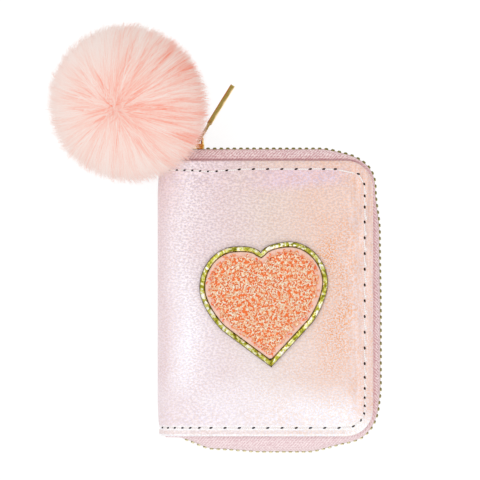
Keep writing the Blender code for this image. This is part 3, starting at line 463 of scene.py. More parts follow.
def thread_finish():
    """Twisted white thread."""
    finish = Finish("thread", Roughness=0.6, Sheen_Weight=0.3)
    along, around, _ = finish.split(finish.attribute("flat", "Vector"))
    ply = finish.plus(finish.times(along, TURN / (0.9 * MM)), around)
    ply = finish.span(finish.math("SINE", ply), -1.0, 1.0)
    return finish.done(
        Base_Color=finish.mix(ply, (238, 224, 222), (255, 252, 250)),
        Normal=finish.bump(ply, 0.08 * MM, 0.7))


def foil_finish():
    """Crumpled gold foil of the heart's border, in long flat facets, painted at random from olive shade to
    white glints.
    """
    finish = Finish("foil_border", Metallic=0.8, Roughness=0.3)
    where = finish.place()
    # Painted reflections: each facet has its own brightness, from dark olive shade to white glints
    tone = finish.node("SeparateColor", {0: finish.cells(where, 860.0, output=1)}).outputs
    blur = finish.noise(where, 700.0)
    hue = finish.ramp(
        finish.plus(tone[0], finish.span(blur, 0.3, 0.7, -0.3, 0.3), True),
        (0.0, (126, 122, 22)), (0.26, (176, 176, 48)), (0.54, (218, 216, 106)),
        (0.78, (244, 242, 186)), (0.95, (255, 255, 244)))
    chip = finish.span(finish.noise(where, 1500.0, 1.0), 0.70, 0.74)
    crease = finish.bump(finish.cells(where, 420.0), 0.4 * MM, 0.7)
    return finish.done(
        Base_Color=finish.mix(chip, hue, (226, 150, 10)),
        Normal=finish.bump(blur, 0.3 * MM, 0.6, crease),
        Roughness=finish.span(tone[2], 0.0, 1.0, 0.2, 0.5))


def chenille_finish():
    """Curly yarn: pale peach on its crests and saturated orange down between them."""
    finish = Finish("chenille", Roughness=0.9, Sheen_Weight=0.05, Sheen_Roughness=0.4)
    fuzz = finish.noise(finish.place(), 1050.0, 1.0)
    lift = finish.plus(finish.attribute("lift"), finish.span(fuzz, 0.3, 0.7, -0.15, 0.15))
    return finish.done(
        Base_Color=finish.ramp(
            lift, (0.34, (1.0, 0.17, 0.02)), (0.46, (1.0, 0.33, 0.09)), (0.56, (1.0, 0.53, 0.27)),
            (0.69, (1.0, 0.67, 0.42)), (0.86, (1.0, 0.94, 0.80))),
        Normal=finish.bump(fuzz, 0.03 * MM, 0.8))


def plain_cloth_finish(name, colour, sheen=0.5, scale=1600.0):
    """Dense short cloth, such as satin or felt."""
    finish = Finish(name, Roughness=0.7, Sheen_Weight=sheen, Sheen_Roughness=0.4)
    fibre = finish.noise(finish.stretch(finish.place(), 1.0, 0.3), scale, 3.0)
    colour = linear(colour)
    darker = tuple(part * 0.82 for part in colour[:3]) + (1.0,)
    return finish.done(
        Base_Color=finish.mix(finish.span(fibre, 0.3, 0.7), darker, colour),
        Normal=finish.bump(fibre, 0.05 * MM, 0.7))


FUR_TONES = (
    (0.0, (0.93, 0.27, 0.18)),
    (0.30, (0.93, 0.47, 0.38)),
    (0.60, (0.93, 0.62, 0.54)),
    (1.0, (0.93, 0.77, 0.715)),
)


def hair_finish():
    """Fine hair, from salmon in the gaps between locks to nearly white pink at the tips, with painted
    shade over its upper right side.
    """
    finish = Finish("fur", Roughness=0.7, Sheen_Weight=0.15, Sheen_Roughness=0.5)
    paler = finish.span(finish.attribute("along"), 0.0, 1.0, -0.14, 0.14)
    hue = finish.ramp(finish.plus(finish.attribute("tint"), paler, True), *FUR_TONES)
    x, y, _ = finish.split(finish.place())
    # Painted shade: a little darker and greyer over the pom-pom's upper right side
    far_side_shade = finish.span(finish.plus(finish.times(x, 0.4), y), 0.062, 0.084)
    return finish.done(Base_Color=finish.mix(far_side_shade, hue, finish.tinted(hue, (0.93, 0.96, 0.96, 1.0))))


def underfur_finish():
    """The fur's dense part under the hair: fine streaks that run away from the parting."""
    finish = Finish("underfur", Roughness=0.9, Sheen_Weight=0.3, Sheen_Roughness=0.5)
    vector = finish.vector
    away = vector("SUBTRACT", finish.place(), tuple(POM_CENTRE))
    height = vector("DOT_PRODUCT", away, tuple(POM_PARTING))
    aside = vector("SUBTRACT", away, vector("SCALE", tuple(POM_PARTING), height))
    where = vector("ADD", vector("NORMALIZE", aside), vector("SCALE", away, 12.0))
    streak = finish.noise(where, 22.0, 4.0, 0.65)
    return finish.done(
        Base_Color=finish.ramp(finish.span(streak, 0.3, 0.7, 0.0, 0.7), *FUR_TONES),
        Normal=finish.bump(streak, 1.0 * MM, 0.6))


def film_finish():
    """Clear window film with a faint cast."""
    finish = Finish("window_film", Roughness=0.08, Transmission_Weight=0.92, IOR=1.45)
    ripple = finish.noise(finish.place(), 70.0)
    return finish.done(
        Base_Color=finish.mix(ripple, (236, 240, 246), (252, 252, 255)),
        Normal=finish.bump(ripple, 0.6 * MM, 0.25))


def hole_shade_finish():
    """Painted shade in a needle hole: near black, for the hole's shadow."""
    finish = Finish("needle_hole_shade", Roughness=0.9)
    speck = finish.noise(finish.place(), 3000.0)
    return finish.done(Base_Color=finish.mix(speck, (10, 4, 4), (48, 24, 20)))


SKIN_FINISH = skin_finish()
TAPE_FINISH = weave_finish()
LINING_FINISH = plain_cloth_finish("lining", (206, 158, 162), 0.4, 1500.0)
FILE_FINISH = sheet_finish()
# The gold finishes paint shade and highlights into their colour by which way each face turns; the teeth
# are palest on faces turned towards -Y
GOLD_FINISH = gold_finish(
    "gold_plate", ((186, 78, 6), (172, 148, 78), (250, 220, 172)), 0.22, 300.0, across=TAB_ACROSS)
SLIDER_FINISH = gold_finish(
    "gold_slider", ((96, 24, 2), (206, 132, 44), (250, 216, 140)), 0.25, 520.0, cloudy=0.5)
TEETH_FINISH = gold_finish(
    "gold_teeth", ((112, 100, 26), (130, 118, 48), (238, 228, 184)), 0.34, 900.0, (0.0, -1.0, 0.2))
FOIL_FINISH = foil_finish()
CHENILLE_FINISH = chenille_finish()
SATIN_FINISH = plain_cloth_finish("satin_margin", (1.0, 0.64, 0.52, 1.0))
GROUND_FINISH = plain_cloth_finish("yarn_ground", (1.0, 0.21, 0.04, 1.0), 0.1)
# Partly the patch's own dark edge, partly painted shade in the gaps beside the foil border
EDGE_AND_GAP_SHADE_FINISH = plain_cloth_finish("patch_edge_and_gap_shade", (74, 52, 40), 0.2)
HAIR_FINISH = hair_finish()
UNDERFUR_FINISH = underfur_finish()
CORE_FINISH = plain_cloth_finish("pom_core", (250, 160, 140), 0.3)
THREAD_FINISH = thread_finish()
HOLE_SHADE_FINISH = hole_shade_finish()
FILM_FINISH = film_finish()
CARD_FINISH = plain_cloth_finish("board", (196, 176, 150), 0.1, 900.0)


def link(name, data):
    """A new object in the scene with this data."""
    made = bpy.data.objects.new(name, data)
    bpy.context.scene.collection.objects.link(made)
    return made


def new_mesh(name, shape, finish):
    data = bpy.data.meshes.new(name)
    shape.to_mesh(data)
    shape.free()
    data.materials.append(finish)
    return data


def make_piece(name, shape, finish, smooth=True):
    """Turn a shape into a piece with its finish, with its faces turned outwards."""
    bmesh.ops.recalc_face_normals(shape, faces=shape.faces)
    data = new_mesh(name, shape, finish)
    if smooth:
        data.shade_smooth()
    return link(name, data)


def thicken(piece, name, thickness, offset):
    shell = piece.modifiers.new(name, "SOLIDIFY")
    shell.thickness = thickness
    shell.offset = offset
    return shell


def vector_layer(shape, name="flat"):
    return shape.verts.layers.float_vector.new(name)


def number_layer(shape, name):
    return shape.verts.layers.float.new(name)


def span_rows(shape, rows, around=False):
    """Faces between rows of vertices, also from each row's end to its start if it goes around."""
    for first, second in zip(rows, rows[1:]):
        count = len(first)
        for index in range(count if around else count - 1):
            after = (index + 1) % count
            shape.faces.new((first[index], first[after], second[after], second[index]))


def loft(shape, rings, closed=True):
    """Join rings of vertices into a tube, with its ends closed."""
    span_rows(shape, rings, True)
    if closed:
        shape.faces.new(list(reversed(rings[0])))
        shape.faces.new(rings[-1])


def around(centre, aside, up, sides, start=0.0, bend=float):
    """Points round a centre, from its two half axes. The bend can turn the oval squarish."""
    angles = [start + TURN * side / sides for side in range(sides)]
    return [centre + aside * bend(math.cos(angle)) + up * bend(math.sin(angle)) for angle in angles]


def oval(shape, *measures):
    """A ring of vertices round a centre."""
    return [shape.verts.new(point) for point in around(*measures)]


def smooth_step(share):
    share = min(max(share, 0.0), 1.0)
    return share * share * (3 - 2 * share)


def ease(value, start, length):
    """From 0 to 1 over a length past a start, both in millimetres."""
    return smooth_step((value - start * MM) / (length * MM))


def bell(distance, width):
    return math.exp(-(distance / width) ** 2)


def direction_at(line, index):
    """Direction of a line at one of its points, from the point before to the one after."""
    return (line[min(index + 1, len(line) - 1)] - line[max(index - 1, 0)]).normalized()


def wrap(across, along, depth, front):
    """Place a point of a cover's skin. Past the flat part it runs round the spine's edge."""
    run = ARC_X - across
    if run <= 0:
        x = across
        z = THICKNESS - depth
    elif run <= ARC_LENGTH:
        angle = run / SPINE_RADIUS
        radius = SPINE_RADIUS - depth
        x = ARC_X - radius * math.sin(angle)
        z = THICKNESS - SPINE_RADIUS + radius * math.cos(angle)
    else:
        x = -HALF_WIDTH + depth
        z = THICKNESS - SPINE_RADIUS - (run - ARC_LENGTH)
    return Vector((x, along, z if front else THICKNESS - z))


def skin_depth(across, along, inset):
    """How far the skin's face lies under the cover's highest level.

    It falls off towards the zip edges, dips along the stitching and is very slightly uneven.
    """
    fall = 0.55 * MM * (1 - ease(inset, 0, 15))
    seam = 0.22 * MM * bell(inset - STITCH_INSET, 0.8 * MM)
    uneven = noise.noise(Vector((across * 55, along * 55, 3.0))) * 0.09 * MM
    return fall + seam + max(uneven, 0.0)


def edge_fall(inset):
    """Rounding of the turned edge, which drops over the last millimetre."""
    reach = max(1 - inset / MM, 0.0)
    return 1.1 * MM * (1 - math.sqrt(1 - reach * reach))


def even_steps(start, end, count):
    """A start, an end and the values between them, a number of steps apart."""
    return [start + (end - start) * step / count for step in range(count + 1)]


def cover_skin(name, front):
    """One cover's skin: a border band with round corners, a flat middle and half of the spine.

    Both parts are laid out flat, measured across and along, and then wrapped round the spine.
    """
    shape = bmesh.new()
    layer = vector_layer(shape)
    columns = even_steps(SPINE_END, ARC_X - ARC_LENGTH, 5)[:-1]
    columns += even_steps(ARC_X - ARC_LENGTH, ARC_X, 8)[:-1] + even_steps(ARC_X, CORNER_X, 30)
    lines = even_steps(-CORNER_Y, CORNER_Y, 40)
    quarter = even_steps(0.0, math.pi / 2, 9)[1:-1]
    stations = [((across, CORNER_Y), (0, 1)) for across in columns]
    stations += [((CORNER_X, CORNER_Y), (math.sin(angle), math.cos(angle))) for angle in quarter]
    stations += [((CORNER_X, along), (1, 0)) for along in reversed(lines)]
    stations += [((CORNER_X, -CORNER_Y), (math.cos(angle), -math.sin(angle))) for angle in quarter]
    stations += [((across, -CORNER_Y), (0, -1)) for across in reversed(columns)]

    def vertex(across, along, depth):
        made = shape.verts.new(wrap(across, along, depth, front))
        made[layer] = (across, along, depth)
        return made

    profile = [(0.35 * MM, RIM_DEPTH), (0.0, RIM_DEPTH - 0.3 * MM)]
    profile += [(inset * MM, None) for inset in BAND]
    rows = []
    for (across, along), (out_x, out_y) in stations:
        row = []
        for inset, depth in profile:
            reach = CORNER_RADIUS - inset
            at_across = across + out_x * reach
            at_along = along + out_y * reach
            if depth is None:
                depth = skin_depth(at_across, at_along, inset) + edge_fall(inset)
            row.append(vertex(at_across, at_along, depth))
        rows.append(row)
    span_rows(shape, rows)
    middle = []
    for along in lines:
        row = []
        for across in columns:
            inset = min(HALF_WIDTH - across, HALF_HEIGHT - abs(along))
            row.append(vertex(across, along, skin_depth(across, along, inset)))
        middle.append(row)
    span_rows(shape, middle)
    bmesh.ops.remove_doubles(shape, verts=shape.verts, dist=0.002 * MM)
    piece = make_piece(name, shape, SKIN_FINISH)
    outer = max(piece.data.polygons, key=lambda face: face.area)
    if (outer.normal.z > 0) != front:
        piece.data.flip_normals()
    piece.data.materials.append(LINING_FINISH)
    thicken(piece, "Skin thickness", 0.8 * MM, -1).material_offset = 1
    return piece


def round_corner(along, angle, radius=CORNER_RADIUS):
    """Point and outward direction at an angle on one of the covers' corners."""
    out = Vector((math.cos(angle), math.sin(angle)))
    return Vector((CORNER_X, along)) + radius * out, out


def edge_at(run):
    """Point and outward direction along the zip edge, from the top of the spine."""
    if run < SHORT_RUN:
        return Vector((TAPE_START + run, HALF_HEIGHT)), Vector((0, 1))
    if run < RIGHT_START:
        return round_corner(CORNER_Y, math.pi / 2 - (run - SHORT_RUN) / CORNER_RADIUS)
    if run < RIGHT_END:
        return Vector((HALF_WIDTH, CORNER_Y - (run - RIGHT_START))), Vector((1, 0))
    if run < BOTTOM_START:
        return round_corner(-CORNER_Y, -(run - RIGHT_END) / CORNER_RADIUS)
    return Vector((CORNER_X - (run - BOTTOM_START), -HALF_HEIGHT)), Vector((0, -1))


def bulge_at(run):
    """How far the tape stands out from the cover's edge."""
    for (start, low), (end, high) in zip(BULGES, BULGES[1:]):
        if run <= end:
            return (low + (high - low) * smooth_step((run - start) / (end - start))) * MM
    return BULGES[-1][1] * MM


def spread_at(x, y):
    """How far the slider's divider pushes a half of the chain aside."""
    if y < 0:
        return 0
    return CHAIN_SPREAD * smooth_step((SPREAD_START - x) / SPREAD_LENGTH)


def level(depth, front):
    return THICKNESS - depth if front else depth


def smooth_profile(points, steps):
    """A smooth line through points, by a Catmull-Rom curve."""
    line = []
    padded = [points[0], *points, points[-1]]
    for near in zip(padded, padded[1:], padded[2:], padded[3:]):
        for step in range(steps):
            t = step / steps
            line.append(tuple(
                0.5 * (2 * b + (c - a) * t + (2 * a - 5 * b + 4 * c - d) * t * t
                       + (3 * b - a - 3 * c + d) * t ** 3)
                for a, b, c, d in zip(*near)))
    line.append(points[-1])
    return line


def zip_tape(name, front):
    """Woven tape: flange under the cover, then a soft curl out past its edge to the chain."""
    shape = bmesh.new()
    layer = vector_layer(shape)
    rows = []
    for run in even_steps(0.0, EDGE_RUN, round(EDGE_RUN / TAPE_STEP)):
        point, out = edge_at(run)
        bulge = bulge_at(run) + 0.06 * MM * noise.noise(Vector((run * 160, 5.0, 9.0 if front else 2.0)))
        middle = point + bulge * out
        profile = smooth_profile((
            (-TAPE_FLANGE, TAPE_DEPTH),
            (-TAPE_FLANGE_EDGE, TAPE_DEPTH),
            (0.55 * bulge, TAPE_DEPTH + 0.55 * MM),
            (0.9 * bulge, TAPE_DEPTH + 1.95 * MM),
            (bulge, TAPE_TURN),
            (bulge, TAPE_END - spread_at(middle.x, middle.y)),
        ), 4)
        row = []
        up = 0.0
        last = profile[0]
        for offset, depth in profile:
            at = point + offset * out
            up += math.hypot(offset - last[0], depth - last[1])
            last = (offset, depth)
            made = shape.verts.new((at.x, at.y, level(depth, front)))
            made[layer] = (run, up, offset)
            row.append(made)
        rows.append(row)
    span_rows(shape, rows)
    piece = make_piece(name, shape, TAPE_FINISH)
    thicken(piece, "Tape thickness", TAPE, 0)
    return piece


def chain_line():
    """The chain's middle line in plan, with the length up to each point."""
    line = []
    total = 0
    for run in even_steps(0.0, EDGE_RUN, 1600):
        point, out = edge_at(run)
        at = point + bulge_at(run) * out
        if at.y > 0 and at.x < CHAIN_TOP_START:
            continue
        if at.y < 0 and at.x < CHAIN_BOTTOM_END:
            break
        if line:
            total += (at - line[-1][1]).length
        line.append((total, at))
    return line


CHAIN = chain_line()
CHAIN_LENGTH = CHAIN[-1][0]


def chain_at(length):
    """Point, direction and outward direction of the chain's middle line at a length."""
    low = min(bisect.bisect_right(CHAIN, length, key=lambda knot: knot[0]), len(CHAIN) - 1) - 1
    (start, first), (end, second) = CHAIN[low:low + 2]
    before = CHAIN[max(low - 4, 0)][1]
    after = CHAIN[min(low + 5, len(CHAIN) - 1)][1]
    along = (after - before).normalized()
    return first.lerp(second, (length - start) / (end - start)), along, Vector((-along.y, along.x))


def squarish(value):
    return math.copysign(abs(value) ** 0.6, value)


def zip_teeth(name, front, phase):
    """A row of metal teeth clamped on the tape's edge. The back row sits slightly further in."""
    inwards = 0 if front else 0.35 * MM
    width = 1.0 if front else 0.72
    shape = bmesh.new()
    sides = 10
    for index in range(int((CHAIN_LENGTH - 1.0 * MM) / TOOTH_PITCH)):
        at, along, out = chain_at((index + phase) * TOOTH_PITCH)
        spread = spread_at(at.x, at.y)
        at = at - out * inwards
        rings = []
        for depth, half_out, half_along in TOOTH_SECTIONS:
            height = level(TAPE_END + depth * MM - spread, front)
            aside = out * (half_out * width * MM)
            corners = around(at, aside, along * (half_along * MM), sides, math.pi / sides, squarish)
            rings.append([shape.verts.new((corner.x, corner.y, height)) for corner in corners])
        loft(shape, rings)
    return make_piece(name, shape, TEETH_FINISH)


def zip_cord(name, front):
    """The cord woven into the tape's edge that the teeth grip."""
    shape = bmesh.new()
    layer = vector_layer(shape)
    sides = 8
    up = Vector((0, 0, -CORD_RADIUS if front else CORD_RADIUS))
    rings = []
    for length in even_steps(0.0, CHAIN_LENGTH, round(CHAIN_LENGTH / TAPE_STEP)):
        at, _, out = chain_at(length)
        height = level(TAPE_END + 0.25 * MM - spread_at(at.x, at.y), front)
        ring = oval(shape, Vector((at.x, at.y, height)), out.to_3d() * CORD_RADIUS, up, sides)
        for side, made in enumerate(ring):
            made[layer] = (length, 0.5 * MM * TURN * side / sides, 5 * MM)
        rings.append(ring)
    loft(shape, rings)
    return make_piece(name, shape, TAPE_FINISH)


def edge_distance(across, along):
    """How far a point of a cover lies inside the zip edges."""
    over_x = across - CORNER_X
    over_y = abs(along) - CORNER_Y
    if over_x > 0 and over_y > 0:
        return CORNER_RADIUS - math.hypot(over_x, over_y)
    return min(HALF_WIDTH - across, HALF_HEIGHT - abs(along))


def seam_line():
    """The stitching's holes round a cover, as (across, along), from the top of the spine.

    The stitches are short by the spine and near the corners, and long elsewhere. The upper run
    sags a little where the hem was folded.
    """
    radius = CORNER_RADIUS - STITCH_INSET
    top = HALF_HEIGHT - STITCH_INSET
    longer = STITCH_PITCH - STITCH_PITCH_SPINE
    holes = []
    across = ARC_X - 0.2 * ARC_LENGTH
    while across < CORNER_X - 0.1 * STITCH_PITCH:
        sag = 0.95 * MM * bell(across + 21.5 * MM, 8.0 * MM) + 0.35 * MM * bell(across + 36 * MM, 8.0 * MM)
        holes.append(Vector((across, top - sag)))
        across += STITCH_PITCH_SPINE + longer * ease(across, -27, 18) - 1.5 * MM * ease(across, 14, 14)
    holes += [round_corner(CORNER_Y, math.radians(turn), radius)[0] for turn in (48, 12)]
    along = CORNER_Y - 3.2 * MM
    while along > -CORNER_Y:
        holes.append(Vector((CORNER_X + radius, along)))
        eased = min(ease(CORNER_Y - along, -2, 12), ease(along + CORNER_Y, 2, 24))
        along -= STITCH_PITCH_CORNER + (STITCH_PITCH_RIGHT - STITCH_PITCH_CORNER) * eased
    holes += [round_corner(-CORNER_Y, -math.radians(turn), radius)[0] for turn in (14, 36, 66)]
    across = CORNER_X - 2.7 * MM
    while across > ARC_X - 0.8 * ARC_LENGTH:
        holes.append(Vector((across, -top)))
        across -= STITCH_PITCH_SPINE + longer * ease(across, -31, 16)
    return holes


def stitching(front, side):
    """Thread of one cover, and dark spots of painted shade in its needle holes. Every stitch is its own
    short arch of thread.

    The stitches of the upright run end in a wider pucker.
    """
    holes = seam_line()
    thread = bmesh.new()
    layer = vector_layer(thread)
    hole_shades = bmesh.new()
    rng = random.Random(SEED + front)
    count = 9
    sides = 8

    def face_at(across, along, lift):
        depth = skin_depth(across, along, edge_distance(across, along)) - lift
        return wrap(across, along, depth, front)

    for number, (start, end) in enumerate(zip(holes, holes[1:])):
        run = (end - start).length
        along = (end - start) / run
        aside = Vector((-along.y, along.x))
        jog = rng.uniform(-0.10, 0.10) * MM
        upright = abs(along.y) > 0.9
        points = []
        for step in range(count):
            t = step / (count - 1)
            pucker = smooth_step((t - 0.55) / 0.3) if upright else 0.0
            place = start + along * run * (0.07 + 0.80 * t) + aside * (jog + 0.45 * MM * pucker)
            rise = 0.30 * MM * math.sin(math.pi * t) ** 0.5 - 0.16 * MM
            points.append((place.x, place.y, rise, pucker))
        centres = [face_at(*point[:3]) for point in points]
        rings = []
        for index, (x, y, rise, pucker) in enumerate(points):
            centre = centres[index]
            forward = direction_at(centres, index)
            across_dir = forward.cross(face_at(x, y, rise + 0.1 * MM) - centre).normalized()
            up = across_dir.cross(forward)
            radius = THREAD_RADIUS * (0.55 if index in (0, count - 1) else 1.0) * (1 + 0.9 * pucker)
            ring = oval(thread, centre, across_dir * (1.15 * radius), up * (0.9 * radius), sides)
            for spoke, made in enumerate(ring):
                made[layer] = (number * STITCH_PITCH + index * run / count, TURN * spoke / sides, 0)
            rings.append(ring)
        loft(thread, rings)
    # Painted shade: a dark flat spot over each needle hole
    for number, place in enumerate(holes):
        direction = direction_at(holes, number)
        wider = 1.15 if abs(direction.y) > 0.9 else 1.0
        direction = (direction + 0.2 * Vector((-direction.y, direction.x))).normalized()
        aside = Vector((-direction.y, direction.x))
        rings = []
        for lift, half_along, half_aside in ((0.05, 0.76, 0.36), (-0.25, 0.42, 0.20)):
            spots = around(
                place, direction * (half_along / wider * MM), aside * (half_aside * wider * MM), 10)
            rings.append([hole_shades.verts.new(face_at(spot.x, spot.y, lift * MM)) for spot in spots])
        loft(hole_shades, rings)
    return (make_piece(side + "_stitches", thread, THREAD_FINISH),
            make_piece(side + "_needle_holes", hole_shades, HOLE_SHADE_FINISH))


def heart_ring(inset=0.0, steps=26):
    """The heart's edge moved inwards, from its notch clockwise. At 0 it is the solids' outline.

    Only the right side is worked out, and it is mirrored. Where the inset would cross the middle,
    at the tip, its points stay on the middle line.
    """
    edge = []
    for curve in HEART_CURVES:
        edge += interpolate_bezier(*(Vector((x, y, 0)) for x, y in curve), steps + 1)[:-1]
    edge.append(Vector((*HEART_CURVES[-1][-1], 0)))
    edge = [point * HEART_HALF_WIDTH for point in edge]
    right = []
    for index, point in enumerate(edge):
        direction = direction_at(edge, index)
        right.append(point + Vector((direction.y, -direction.x, 0)) * inset)
    if inset > 0:
        right[0] = Vector((0, right[0].y - 0.45 * inset, 0))
        for index in range(steps + 1, len(right)):
            if right[index].x <= 0:
                right[index:] = [Vector((0, right[index - 1].y, 0))] * (len(right) - index)
                break
    if inset < 0:
        right[0] = Vector((0, -0.6 * inset, 0))
        right[-1] = Vector((0, right[-1].y + inset, 0))
    left = [Vector((-point.x, point.y, 0)) for point in reversed(right[1:-1])]
    turn = Matrix.Rotation(HEART_TURN, 3, "Z")
    return [(turn @ point).to_2d() + HEART_PLACE for point in right + left]


def distance_inside(point, outline):
    """Signed distance from a point to an outline, positive inside."""
    best = 1.0
    inside = False
    for a, b in zip(outline, outline[1:] + outline[:1]):
        edge = b - a
        share = min(max((point - a).dot(edge) / edge.length_squared, 0.0), 1.0)
        best = min(best, (point - a - edge * share).length)
        if (a.y > point.y) != (b.y > point.y):
            if point.x < a.x + (point.y - a.y) / (b.y - a.y) * (b.x - a.x):
                inside = not inside
    return best if inside else -best


def heart_layers(name, sections, finish, closed=True, wobble=0.0):
    """A heart built up of rings, each (inset, height over the cover) in millimetres."""
    shape = bmesh.new()
    rings = []
    for number, (inset, height) in enumerate(sections):
        ring = []
        for at in heart_ring(inset * MM):
            crumple = wobble * noise.noise(Vector((at.x * 700, at.y * 700, number)))
            ring.append(shape.verts.new((at.x, at.y, THICKNESS + (height + crumple) * MM)))
        rings.append(ring)
    if not closed:
        rings.append(rings[0])
    loft(shape, rings, closed)
    bmesh.ops.triangulate(shape, faces=[face for face in shape.faces if len(face.verts) > 4])
    bmesh.ops.remove_doubles(shape, verts=shape.verts, dist=0.005 * MM)
    return make_piece(name, shape, finish)


def yarn_worm(shape, lift_layer, rng, place, inside):
    """One short curl of yarn. Each vertex keeps its height, from which it takes its colour."""
    heading = rng.uniform(0, TURN)
    curl = rng.choice((-1, 1)) * rng.uniform(0.35, 0.85)
    length = rng.uniform(1.3, 2.3) * MM
    radius = rng.uniform(0.15, 0.23) * MM
    base = THICKNESS + 1.6 * MM + 0.6 * MM * ease(inside, 3.2, 1.6) + rng.uniform(-0.10, 0.09) * MM
    arch = rng.uniform(0.16, 0.32) * MM
    count = 7
    lowest = 1.45 * MM
    rings = []
    at = place.copy()
    for step in range(count):
        t = step / (count - 1)
        heading += curl * (0.6 + 0.8 * rng.random())
        forward = Vector((math.cos(heading), math.sin(heading)))
        at = at + forward * length / count
        centre = Vector((at.x, at.y, base + arch * math.sin(math.pi * t)))
        slope = arch * math.pi * math.cos(math.pi * t) / length
        tilt = Vector((-forward.x * slope, -forward.y * slope, 1)).normalized()
        thin = radius * (0.45 if step in (0, count - 1) else 1.0)
        ring = oval(shape, centre, Vector((-forward.y, forward.x, 0)) * thin, tilt * (0.6 * thin), 5)
        for made in ring:
            made[lift_layer] = (made.co.z - THICKNESS - lowest) / lowest
        rings.append(ring)
    loft(shape, rings)


def chenille_pad():
    """Looped yarn: short curly worms packed over the pad, higher in its middle."""
    coarse = heart_ring(0.0, 6)
    shape = bmesh.new()
    lift_layer = number_layer(shape, "lift")
    rng = random.Random(SEED)
    pitch = 0.68 * MM
    y = min(point.y for point in coarse)
    while y < max(point.y for point in coarse):
        x = min(point.x for point in coarse)
        while x < max(point.x for point in coarse):
            place = Vector((x + rng.uniform(-0.4, 0.4) * MM, y + rng.uniform(-0.4, 0.4) * MM))
            x += pitch
            inside = distance_inside(place, coarse)
            if inside >= (3.6 + 0.7 * noise.noise(place.to_3d() * 500)) * MM:
                yarn_worm(shape, lift_layer, rng, place, inside)
        y += pitch
    return make_piece("heart_chenille", shape, CHENILLE_FINISH)


def sphere_points(count):
    """Evenly spread directions on a sphere."""
    golden = math.pi * (3 - math.sqrt(5))
    points = []
    for index in range(count):
        z = 1 - 2 * (index + 0.5) / count
        radius = math.sqrt(1 - z * z)
        points.append(Vector((radius * math.cos(golden * index), radius * math.sin(golden * index), z)))
    return points


def keep_clear(point):
    """Push a point of hair out of the wallet and up off the floor, or None near the slider."""
    x, y, z = point
    z = max(z, 0.2 * MM)
    if x > SLIDER_ZONE_X and y < SLIDER_ZONE_Y and SLIDER_ZONE_LOW < z < SLIDER_ZONE_HIGH:
        if z < SLIDER_ZONE_MIDDLE:
            return None
        z = SLIDER_ZONE_HIGH
    left = -HALF_WIDTH - HAIR_CLEARANCE
    top = HALF_HEIGHT + HAIR_CLEARANCE + (SLIDER_BULGE + 1.5 * MM if x > -37 * MM else 0.0)
    high = THICKNESS + HAIR_CLEARANCE
    if x > left and y < top and z < high:
        if high - z < min(x - left, top - y + 6 * MM):
            z = high
        elif x - left < top - y:
            x = left
        else:
            y = top
    return Vector((x, y, z))


def away_from_parting(direction):
    return direction - POM_PARTING * POM_PARTING.dot(direction)


def streak(aside, scale, shift, width):
    """A thin line of 1, where noise crosses zero."""
    return max(0.0, 1 - abs(noise.noise(aside * scale + POM_PARTING * shift)) / width)


def hair_tint(aim):
    """How pale a hair is: thin salmon streaks that fan out from the parting, paler to the rim, with
    painted shade on the right-hand side.
    """
    turn = POM_PARTING.angle(aim)
    aside = away_from_parting(aim).normalized()
    toward = max(aside.dot(HAIR_TO_SLIDER), 0.0)
    right = max(aside.dot(HAIR_SHADED_SIDE), 0.0)
    broad = noise.noise(aside * 5.0 + POM_PARTING * (turn * 1.2))
    line = streak(aside, 8.0, turn * 1.1 + 3.0, 0.12)
    fine = streak(aside, 22.0, turn * 2.2 + 5.0, 0.22)
    rim = smooth_step((turn - 0.1) / 1.4)
    # Painted shade: less pale, with stronger streaks, towards the right-hand side
    strength = 0.86 - 0.44 * rim + 0.08 * toward + 0.5 * right * rim + 0.25 * broad
    return 0.70 + (0.32 - 0.34 * right) * rim + 0.20 * broad - strength * (0.7 * line + 0.6 * fine)


def pom_hair():
    """Long fur, combed over the soft body away from its parting. Each lock's tips lean together."""
    strands = 56000
    pieces = 12
    locks = sphere_points(HAIR_LOCKS)
    rng = random.Random(SEED)
    tint_of = [rng.uniform(-0.08, 0.08) for _ in locks]
    reach_of = [rng.uniform(-0.02, 0.01) for _ in locks]
    lean_of = [rng.uniform(0.05, 0.5) for _ in locks]
    stray_of = [Vector((rng.gauss(0, 0.05), rng.gauss(0, 0.05), 0.0)) for _ in locks]
    lock_tree = kdtree.KDTree(HAIR_LOCKS)
    for index, direction in enumerate(locks):
        lock_tree.insert(direction, index)
    lock_tree.balance()
    directions = sphere_points(strands)
    made = []
    for part in range(pieces):
        shape = bmesh.new()
        layers = (number_layer(shape, "along"), number_layer(shape, "tint"))
        for index in range(part, strands, pieces):
            jitter = Vector((rng.gauss(0, 0.02), rng.gauss(0, 0.02), rng.gauss(0, 0.02)))
            aim = (directions[index] + jitter).normalized()
            _, lock, _ = lock_tree.find(aim)
            tip = aim.lerp(locks[lock], lean_of[lock]).normalized()
            toward = max(HAIR_TO_SLIDER.dot(tip), 0.0) ** 4
            reach = HAIR_REACH + reach_of[lock] + 0.06 * toward - 0.015 * tip.y
            reach -= (0.25 - 0.10 * toward) * rng.random() ** 0.7
            width = rng.uniform(0.065, 0.12) * MM
            tint = hair_tint(aim) + tint_of[lock] + rng.uniform(-0.16, 0.16)
            path = combed_path(aim, tip, reach, HAIR_SWEEP * rng.uniform(0.6, 1.2), stray_of[lock])
            strand(shape, layers, path, width, tint)
        piece = make_piece("pom_hair_" + str(part + 1), shape, HAIR_FINISH, False)
        piece.visible_shadow = False
        piece.visible_diffuse = False
        made.append(piece)
    return made


